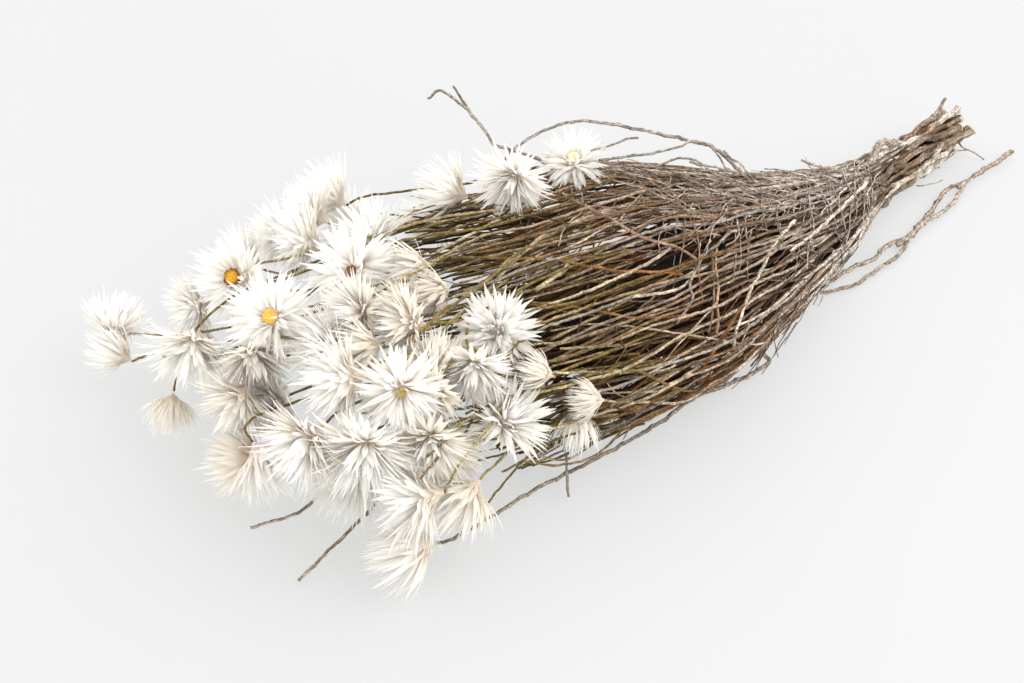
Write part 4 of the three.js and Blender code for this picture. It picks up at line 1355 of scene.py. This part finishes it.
def painted_back_light(path, own, rng):
    """Towards the cut ends, most stems on the back are painted pale, as painted light."""
    mid = path[len(path) // 2]
    u, v = place_in(mid)
    bare = mid[0] > PAINTED_LIGHT_FROM and u > PAINTED_LIGHT_SIDE and v > PAINTED_LIGHT_UP
    return rng.uniform(*PAINTED_LIGHT_SHADES) if bare and rng.random() < PAINTED_LIGHT_SHARE else own


print("one stem in", round(1 / THIN_SHARE, 1), "is kept over the back edge")

# %% Stems without a head
FREE_STEMS = 140
FREE_TURN, FREE_OUT, FREE_END = 0.1, (0.3, 1.0), (-150, -40)
FREE_GIRTH, FREE_END_R = (0.65, 1.2), 0.5
DRIFT = 0.35
WILD_SHARE, WILD_DRIFT = 0.16, 1.1

kept = 0
for i in range(FREE_STEMS):
    angle = i * GOLDEN + rng.normal(0, FREE_TURN)
    out = math.sqrt(rng.uniform(*FREE_OUT))
    drift = rng.normal(0, WILD_DRIFT if rng.random() < WILD_SHARE else DRIFT)
    end_x = rng.uniform(*FREE_END)
    route = spread_out(out * math.cos(angle), out * math.sin(angle), end_x, rng, drift)
    path = smooth_path(steer(route), STEM_STEP)
    if too_full(path[len(path) // 2 :], rng):
        continue
    own = painted_back_light(path, rng.random(), rng)
    thick = STEM_R * rng.uniform(*FREE_GIRTH)
    bark_tube(sector_skins[sector_of(path)], path, thick, FREE_END_R, rng, own, sides=5)
    kept += 1

for k, skin in enumerate(sector_skins):
    make_piece(f"thin_stems_{k + 1}", skin, bark.material, "stem_wood", "stems_bundle")
print("stems without a head:", kept)

# %% [markdown]
# ## Straight stems that cross
#
# A dried bunch is a stack of straight sticks more than a sheaf of curves: every fork sets off at
# its own small angle and lies across its neighbours. Each of these starts and ends at its own
# place in the section, runs nearly straight between them, and is drawn a little towards the
# surface. Many carry a hair-thin side twig.

# %% A crossing stem
STRAW_LONG = (55.0, 150.0)
STRAW_FROM, STRAW_TO, SHORTEST_STRAW = 190.0, -95.0, 45
STRAW_SLANT, WILD_SLANT, WILD_STRAWS, SLANT_OVER = 0.40, 0.9, 0.25, 100
STRAW_OUT, STRAW_POINTS = (0.55, 1.06), 6
HUG, HUG_LEAST = 0.65, 0.2


def straw_route(rng):
    long = rng.uniform(*STRAW_LONG)
    start = rng.uniform(STRAW_TO + SHORTEST_STRAW, STRAW_FROM)
    stop = max(start - long, STRAW_TO)
    angle = rng.uniform(0, 2 * math.pi)
    slant = rng.normal(0, WILD_SLANT if rng.random() < WILD_STRAWS else STRAW_SLANT)
    angles = np.array([angle, angle + slant * (start - stop) / SLANT_OVER])
    outs = np.sqrt(rng.uniform(*STRAW_OUT, 2))
    ends = flow(np.array([start, stop]), outs * np.cos(angles), outs * np.sin(angles))
    t = np.linspace(0, 1, STRAW_POINTS)
    line = ends[0] + (ends[1] - ends[0]) * t[:, None]
    u, v = place_in(line)
    wanted = outs[0] + (outs[1] - outs[0]) * t
    pull = 1 + HUG * (wanted / np.maximum(np.hypot(u, v), HUG_LEAST) - 1)
    return steer(kept_above(flow(line[:, 0], u * pull, v * pull), STEM_LIES))


print("crossing stems run between x", STRAW_FROM, "and", STRAW_TO)

# %% A side twig
SIDE_TWIG_LONG, SIDE_TWIG_R = (7.0, 24.0), 0.38
SIDE_TWIG_LIES = SIDE_TWIG_R + 0.4
SIDE_TWIG_ANGLE, SIDE_TWIG_RISE, SIDE_TWIG_CURL = (0.25, 0.7), (0, 0.6), 0.25
SIDE_TWIG_POINTS, SIDE_TWIG_STEP = 5, 2.5


def side_twig(path, rng):
    """A thin twig that leaves a stem at a small angle, across the surface of the bundle."""
    at = rng.integers(len(path) // 4, len(path) - 2)
    ahead = unit(path[at + 1] - path[at])
    a, b, y, z = section(path[at, 0])
    outward = unit(np.array([0.0, (path[at, 1] - y) / a**2, (path[at, 2] - z) / b**2]))
    sideways = np.cross(ahead, outward) * rng.choice([-1, 1])
    turn = rng.uniform(*SIDE_TWIG_ANGLE)
    aside = sideways + outward * rng.uniform(*SIDE_TWIG_RISE)
    away = ahead * math.cos(turn) + aside * math.sin(turn)
    t = np.linspace(0, 1, SIDE_TWIG_POINTS)[:, None]
    long = rng.uniform(*SIDE_TWIG_LONG)
    twig = path[at] + (away + rng.normal(0, SIDE_TWIG_CURL, 3) * t) * (long * t)
    return smooth_path(kept_above(twig, SIDE_TWIG_LIES), SIDE_TWIG_STEP)


print("side twigs are", SIDE_TWIG_LONG[0], "to", SIDE_TWIG_LONG[1], "mm long")

# %% Crossing stems
STRAWS = 520
STRAW_R, STRAW_START, STRAW_END = (0.40, 0.90), 1.1, 0.8
STRAW_STEP = 4.2
TOP_LAYER, DEEP_PAINTED_SHADE = 0.87, 0.55
SIDE_TWIG_SHARE, LONG_ENOUGH, SIDE_TWIG_TAPER = 0.55, 8, 0.5
UNDERNEATH = 26.0
STRAW_SEED = 41

rng = np.random.default_rng(STRAW_SEED)
straw_skins = [Skin() for _ in range(SECTORS)]
for _ in range(STRAWS):
    path = smooth_path(straw_route(rng), STRAW_STEP)
    if too_full(path, rng):
        continue
    skin = straw_skins[sector_of(path)]
    deep_down = np.median(depth_in(path)) < TOP_LAYER
    # Straws below the top layer draw only from the darker colours: painted shade for the deeper
    # layers.
    own, radius = rng.random() * (DEEP_PAINTED_SHADE if deep_down else 1.0), rng.uniform(*STRAW_R)
    own = painted_back_light(path, own, rng)
    bark_tube(skin, path, radius * STRAW_START, radius * STRAW_END, rng, own, sides=5)
    underneath = path[len(path) // 2, 2] < UNDERNEATH
    if rng.random() < SIDE_TWIG_SHARE and len(path) > LONG_ENOUGH and not underneath:
        bark_tube(skin, side_twig(path, rng), SIDE_TWIG_R, SIDE_TWIG_R * SIDE_TWIG_TAPER, rng, own,
                  sides=4, kink=0.1)
for k, skin in enumerate(straw_skins):
    make_piece(f"crossing_stems_{k + 1}", skin, bark.material, "stem_wood", "stems_bundle")
print("crossing stems and their twigs:", sum(len(skin.values) for skin in straw_skins))

# %% [markdown]
# ## Broken twigs
#
# Handling breaks the finest twigs, and hundreds of short crooked bits stay caught on the surface,
# most of all where the stems spread over the back. They lie at any angle, some with one end up,
# and give the bunch its rough look.

# %% Broken twigs
TWIGLETS = 600
TWIGLET_X, BACK_FROM_X = (-50.0, 190.0), 20.0
BACK_TURN, ANY_TURN, BACK_SHARE = (0.05, 0.62), (0.0, 1.05), 0.68
TWIGLET_LONG, TWIGLET_R, TWIGLET_TAPER = (12.0, 46.0), (0.28, 0.60), 0.5
TWIGLET_SLANT = 0.55
TWIGLET_OUT, TWIGLET_LIFT = (0.97, 1.04), (-0.02, 0.12)
TWIGLET_CROOKED, TWIGLET_LIES = 0.5, 1.0
TWIGLET_POINTS, TWIGLET_STEP = 5, 2.6
PAINTED_LIGHT_TWIGLETS = (0.72, 1.0)
TWIGLET_SEED = 67

rng = np.random.default_rng(TWIGLET_SEED)
twiglet_skin = Skin()
for _ in range(TWIGLETS):
    back = rng.random() < BACK_SHARE
    x = rng.uniform(BACK_FROM_X if back else TWIGLET_X[0], TWIGLET_X[1])
    angle = math.pi * rng.uniform(*(BACK_TURN if back else ANY_TURN))
    slant, long = rng.normal(0, TWIGLET_SLANT), rng.uniform(*TWIGLET_LONG)
    a, b, y, z = section(x)
    t = np.linspace(0, 1, TWIGLET_POINTS)
    angles = angle + t * long * math.sin(slant) / math.sqrt(a * b)
    outs = rng.uniform(*TWIGLET_OUT) + rng.uniform(*TWIGLET_LIFT) * t**2
    twig = flow(x - t * long * math.cos(slant), outs * np.cos(angles), outs * np.sin(angles))
    twig = steer(twig + rng.normal(0, TWIGLET_CROOKED, twig.shape))
    path = smooth_path(kept_above(twig, TWIGLET_LIES), TWIGLET_STEP)
    radius = rng.uniform(*TWIGLET_R)
    # Twigs on the back get pale colour draws: painted light, where the back is lit.
    own = rng.uniform(*PAINTED_LIGHT_TWIGLETS) if back else rng.random()
    bark_tube(twiglet_skin, path, radius, radius * TWIGLET_TAPER, rng, own, sides=4, kink=0.3)
make_piece("broken_twigs", twiglet_skin, bark.material, "stem_wood", "stems_bundle")
print("broken twigs:", TWIGLETS)

# %% [markdown]
# ## Strays on top
#
# A few stems lie right across the top, at odds with the rest, and catch the eye: two pale steep
# ones near the gathered part, a zigzag twig, a pair of straw-coloured ones that run down to the
# heads and a dead grey stub. Each has its radius, its colour draw, its lift and its picture
# points. The lift is how far it lies above the surface, in millimetres: one number, or one for
# each end.

# %% Strays on top
STRAYS = [
    (0.9, 0.97, 2.0, [(794, 221), (774, 244), (761, 270), (750, 290), (742, 312), (735, 333),
                      (733, 350)]),
    (0.9, 0.42, 1.5, [(750, 296), (736, 315), (725, 333), (710, 356), (702, 368)]),
    (1.0, 0.95, 1.5, [(867, 182), (843, 206), (814, 233), (790, 251)]),
    (0.7, 0.84, 2.0, [(716, 249), (715, 266), (718, 287), (716, 302), (718, 318), (716, 335)]),
    (0.6, 0.66, 1.5, [(710, 253), (713, 272), (713, 306), (708, 333)]),
    (0.75, 0.70, 2.5, [(738, 232), (730, 232), (719, 243), (702, 257), (695, 272), (689, 284),
                       (692, 299), (682, 315), (676, 324)]),
    (0.5, 0.9, 3.0, [(736, 220), (738, 232), (735, 240), (725, 246)]),
    (0.9, 0.86, 2.5, [(556, 191), (595, 212), (618, 224), (640, 237), (660, 243), (679, 249),
                      (697, 260)]),
    (0.8, 0.96, 1.5, [(670, 249), (652, 261), (637, 269), (611, 281), (586, 292), (560, 301),
                      (531, 310)]),
    (0.9, 0.38, 1.5, [(451, 258), (546, 260), (591, 267), (624, 272), (655, 272), (682, 275)]),
    (0.8, 0.40, 1.5, [(531, 303), (585, 309), (621, 316), (646, 318), (693, 315)]),
    (0.8, 0.97, 1.5, [(627, 298), (644, 295), (664, 293), (682, 287), (690, 280)]),
    (0.88, 0.92, (-2.5, 5.0), [(630, 204), (605, 212), (575, 222), (548, 233), (530, 247),
                               (505, 271), (482, 297), (451, 322), (427, 350)]),
    (0.82, 0.88, (-2.5, 6.0), [(618, 211), (588, 219), (558, 231), (537, 241), (517, 257),
                               (500, 270), (457, 303), (425, 331), (405, 345)]),
    (1.2, 0.93, 2.5, [(569, 266), (553, 278), (535, 291)]),
    (0.8, 0.66, (3.0, 24.0), [(500, 398), (482, 410), (466, 420), (450, 432), (438, 442),
                              (430, 452)]),
    (0.7, 0.66, (23.0, 25.0), [(442, 452), (434, 460), (429, 467), (424, 474)]),
    (0.75, 0.50, 2.0, [(575, 381), (592, 374), (612, 371), (636, 371), (655, 379), (676, 388),
                       (694, 391), (716, 386)]),
    (0.6, 0.45, 1.5, [(640, 405), (590, 428), (555, 440), (530, 454), (506, 480), (490, 500),
                      (480, 512)]),
]
STRAY_LIES, STRAY_STEP, STRAY_TAPER = 0.5, 1.8, 0.8
STRAY_SEED = 57

rng = np.random.default_rng(STRAY_SEED)
stray_skin = Skin()
for radius, shade, lift, pixels in STRAYS:
    lifts = np.linspace(*(lift if isinstance(lift, tuple) else (lift, lift)), len(pixels))
    points = np.array([on_bundle(px, py, up) for (px, py), up in zip(pixels, lifts)])
    points = steer(kept_above(points, radius + STRAY_LIES), faces=False)
    path = smooth_path(points, STRAY_STEP)
    bark_tube(stray_skin, path, radius, radius * STRAY_TAPER, rng, shade, sides=7)
make_piece("stray_stems", stray_skin, bark.material, "stem_wood", "stems_bundle")
print("strays on top:", len(STRAYS))

# %% [markdown]
# ## The shaded middle
#
# Light hardly reaches the middle of the bundle. A fluted core painted near black closes it: painted
# shade for the inner stems, set well below the outer stems, so the gaps between them are as dark as
# in a real bunch. Towards the heads it thins out to a ragged end, and it keeps away from the loose
# back edge, so that it never shows as a block.

# %% Shaded finish
# The middle is painted near black: painted shade for the inner stems that light hardly reaches.
CORE_SHADE_TINTS = [(0.3, (0.010, 0.007, 0.005)), (0.7, (0.05, 0.032, 0.018))]
CORE_STREAKS, CORE_ROUGH = 9.0, (0.8, 1.0)
CORE_HEIGHT, CORE_STRENGTH = 0.001, 0.8

deep = Nodes("shaded_stems")
streak_place = deep.place(deep.number("across"), deep.number("along"), 0.0)
streak = deep.noise(streak_place, CORE_STREAKS, detail=3.0)
deep.colour(deep.ramp(streak, CORE_SHADE_TINTS))
deep.roughness(streak, *CORE_ROUGH)
deep.bump(streak, CORE_HEIGHT, CORE_STRENGTH)
print("shaded finish:", [colour for at, colour in CORE_SHADE_TINTS])

# %% Shaded middle
CORE_ROWS, CORE_FLUTES = 40, 60
CORE_START, CORE_STOP = 196.0, -86.0
CORE_SHARE = [(-86, 0.22), (-60, 0.44), (-20, 0.62), (100, 0.70), (150, 0.66), (196, 0.30)]
CORE_ASIDE, CORE_ASIDE_FROM, CORE_ASIDE_OVER = -0.16, 110.0, 60
CORE_RAGGED, CORE_RAGGED_FROM = 34.0, -30.0
CORE_GROOVE, CORE_UNEVEN, CORE_TWIST = 0.90, 0.015, 0.002
CORE_LIES, CORE_SHADES = 2.0, 7
CORE_SEED = 5

rng = np.random.default_rng(CORE_SEED)
share_x, share = zip(*CORE_SHARE)
flute = np.arange(CORE_FLUTES * 2)
groove = np.where(flute % 2, CORE_GROOVE, 1.0)
ragged = rng.uniform(0, CORE_RAGGED, len(flute))
core_rings = []
for x in np.linspace(CORE_START, CORE_STOP, CORE_ROWS):
    aside = CORE_ASIDE * np.clip((CORE_ASIDE_FROM - x) / CORE_ASIDE_OVER, 0, 1)
    uneven = groove + rng.normal(0, CORE_UNEVEN, len(flute))
    reach = (np.interp(x, share_x, share) - abs(aside)) * uneven
    turn = flute / len(flute) * 2 * math.pi + CORE_TWIST * x
    ends = x + ragged * np.clip((CORE_RAGGED_FROM - x) / (CORE_RAGGED_FROM - CORE_STOP), 0, 1)
    ring = flow(ends, aside + reach * np.cos(turn), reach * np.sin(turn))
    core_rings.append(kept_above(ring, CORE_LIES))
core_skin = Skin()
core_skin.rings(np.stack(core_rings), along=np.linspace(0, 1, CORE_ROWS),
                across=(flute % CORE_SHADES)[None, :])
make_piece("shaded_middle", core_skin, deep.material, "stem_wood", "stems_bundle")
print("shaded middle:", pieces_made["shaded_middle"], "triangles")

# %% [markdown]
# ## Branches that lie apart
#
# Three branches stray from the bunch: one forked and lying on the table, one that arches over the
# back and crosses a hooked one, and the long stem of the lowest head. They follow the routes of
# their solids, and being thicker and in the open they get finer rings. Each part of a branch has
# its points and its radius at the start and at the end.

# %% Stray branches
FORK = [
    ([(60, -34, 12), (92, -41, 6), (110, -43, 5), (127, -40, 6), (142, -37, 5), (158, -37, 5),
      (172, -32, 5), (186, -32, 4), (194, -30, 4)], 0.9, 1.3),
    ([(110, -43, 5), (124, -45, 3), (137, -47, 3), (153, -44, 3), (177, -39, 3),
      (188, -31, 4)], 0.9, 1.2),
    ([(178, -34, 4), (186, -32, 4), (194, -30, 4), (202, -26.5, 4), (210, -24, 4)], 1.6, 1.8),
    ([(203, -26, 4), (217, -19.5, 4), (226, -15, 4), (235, -10.5, 4), (252, -10, 4)], 1.4, 1.0),
    ([(203, -26, 4), (220, -24, 3), (229, -21.5, 3), (237, -18, 3), (252, -10, 4)], 1.3, 1.0),
    ([(243, -12, 4), (254, -10, 4), (269, -7, 4), (283, -5, 4), (296, -2, 4)], 1.2, 1.6),
]
ARCH_STEM = [(104, 7, 45), (92, 12, 61), (80, 16, 75), (66, 17, 85), (14, 38, 104), (-7, 49, 99),
             (-16, 50, 96), (-25, 51, 92), (-32, 48, 88)]
ARCH_CROSSING = [(-46, 102, 100), (-40, 98, 105), (-35, 80, 103), (-34, 63, 100), (-33, 54, 97),
                 (-25, 51, 92), (-17, 48, 88), (-10, 40, 84), (0, 20, 76)]
ARCH_TIP = [(-34, 72, 101), (-34, 86, 104), (-33, 97, 106)]
LOW_STEM = [(38, -50, 22), (47, -63, 15), (57, -73, 8), (44, -76, 7), (26, -76, 7), (8, -75, 7),
            (-12, -79, 6), (-36, -82, 6), (-64, -84, 6), (-92, -86, 7), (-118, -91, 9)]
LOW_HEAD = heads[LOW_HEAD_NUMBER - 1]
ARCH = [(ARCH_STEM, 1.0, 0.7), (ARCH_CROSSING, 0.7, 0.9), (ARCH_TIP, 0.7, 0.55)]
LOW = [(LOW_STEM + [LOW_HEAD.neck, LOW_HEAD.foot], 1.1, 0.8)]
TAUPE = (0.66, 0.74)
BRANCH_STEP = 1.3
BRANCH_SEED = 23

rng = np.random.default_rng(BRANCH_SEED)
branches = [
    ("forked_branch", "branch_forked", FORK),
    ("arching_branch", "branch_arching", ARCH),
    ("low_branch", "branch_low", LOW),
]
for name, node, parts in branches:
    skin = Skin()
    for points, start_r, end_r in parts:
        bark_tube(skin, smooth_path(points, BRANCH_STEP), start_r, end_r, rng, rng.uniform(*TAUPE),
                  sides=8, kink=0.35, rough=0.10)
    make_piece(name, skin, bark.material, "stem_wood", node)
print("branches apart:", [name for name, node, parts in branches])

# %% [markdown]
# ## Twigs that catch the eye
#
# Some bare twigs stand clear of the bundle: the ends below the heads, the knee of bark near the
# cut ends, the loops at the back and the hair-thin ends by the table. Each is a short list of
# points with its thickness.

# %% Bare twigs
TWIGS = [
    (1.3, [(236, 20, 18), (250, 27, 23), (256, 28, 28), (264, 31, 34)]),
    (2.2, [(184, 8, 22), (193, 12, 30), (202, 17, 33), (212, 16, 30), (226, 18, 22)]),
    (1.0, [(176, 4, 24), (160, 6, 37), (149, 9, 42), (142, 17, 44)]),
    (0.85, [(-30, -50, 40), (-62, -70, 36), (-71, -80, 26), (-75, -88, 14), (-78, -95, 3)]),
    (0.95, [(-30, -46, 24), (-110, -50, 16), (-150, -56, 13), (-180, -66, 9), (-209, -75, 3)]),
    (0.9, [(-40, -20, 20), (-120, -30, 17), (-165, -38, 18), (-195, -52, 20), (-219, -48, 18)]),
    (0.65, [(9, 22, 92), (24, 17, 92), (37, 13, 92), (51, 11, 92), (60, 11, 92), (66, 4, 90),
            (72, -4, 78)]),
    (0.6, [(5, 21, 88), (21, 16, 88), (34, 8, 88), (49, 7, 88), (56, 0, 87), (61, -4, 82),
           (73, -8, 72)]),
    (0.6, [(75, 5, 84), (76, 0, 82), (81, -4, 78), (86, -7, 70)]),
    (0.6, [(51, 2, 88), (61, -2, 84), (73, -4, 78), (85, -6, 70)]),
    (0.6, [(32, 21, 98), (27, 23, 98), (18, 24, 97), (6, 25, 97)]),
    (0.35, [(219, -2, 8), (226, -6, 9), (232, -9, 12)]),
    (0.5, [(250, 14, 20), (258, 11, 18), (266, 10, 10), (272, 9, 6), (278, 2, 2)]),
    (0.5, [(246, 14, 14), (257, 12, 10), (270, 11, 6), (274, 11, 4)]),
]
BARE_TWIG_STEP, BARE_TWIG_START, BARE_TWIG_END = 1.4, 1.1, 0.75
TWIG_SEED = 31

rng = np.random.default_rng(TWIG_SEED)
twig_skin = Skin()
for radius, points in TWIGS:
    path = smooth_path(steer(np.array(points, float)), BARE_TWIG_STEP)
    bark_tube(twig_skin, path, radius * BARE_TWIG_START, radius * BARE_TWIG_END, rng,
              rng.uniform(*TAUPE), sides=7, kink=0.3)
make_piece("bare_twigs", twig_skin, bark.material, "stem_wood", "stems_bundle")
print("bare twigs:", len(TWIGS))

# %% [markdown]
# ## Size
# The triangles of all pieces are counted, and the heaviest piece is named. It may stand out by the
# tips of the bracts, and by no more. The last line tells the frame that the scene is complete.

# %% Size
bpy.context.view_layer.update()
heaviest = max(pieces_made, key=pieces_made.get)
print("triangles:", sum(pieces_made.values()), "in", len(pieces_made), "pieces")
print("the heaviest is", heaviest, "with", pieces_made[heaviest])
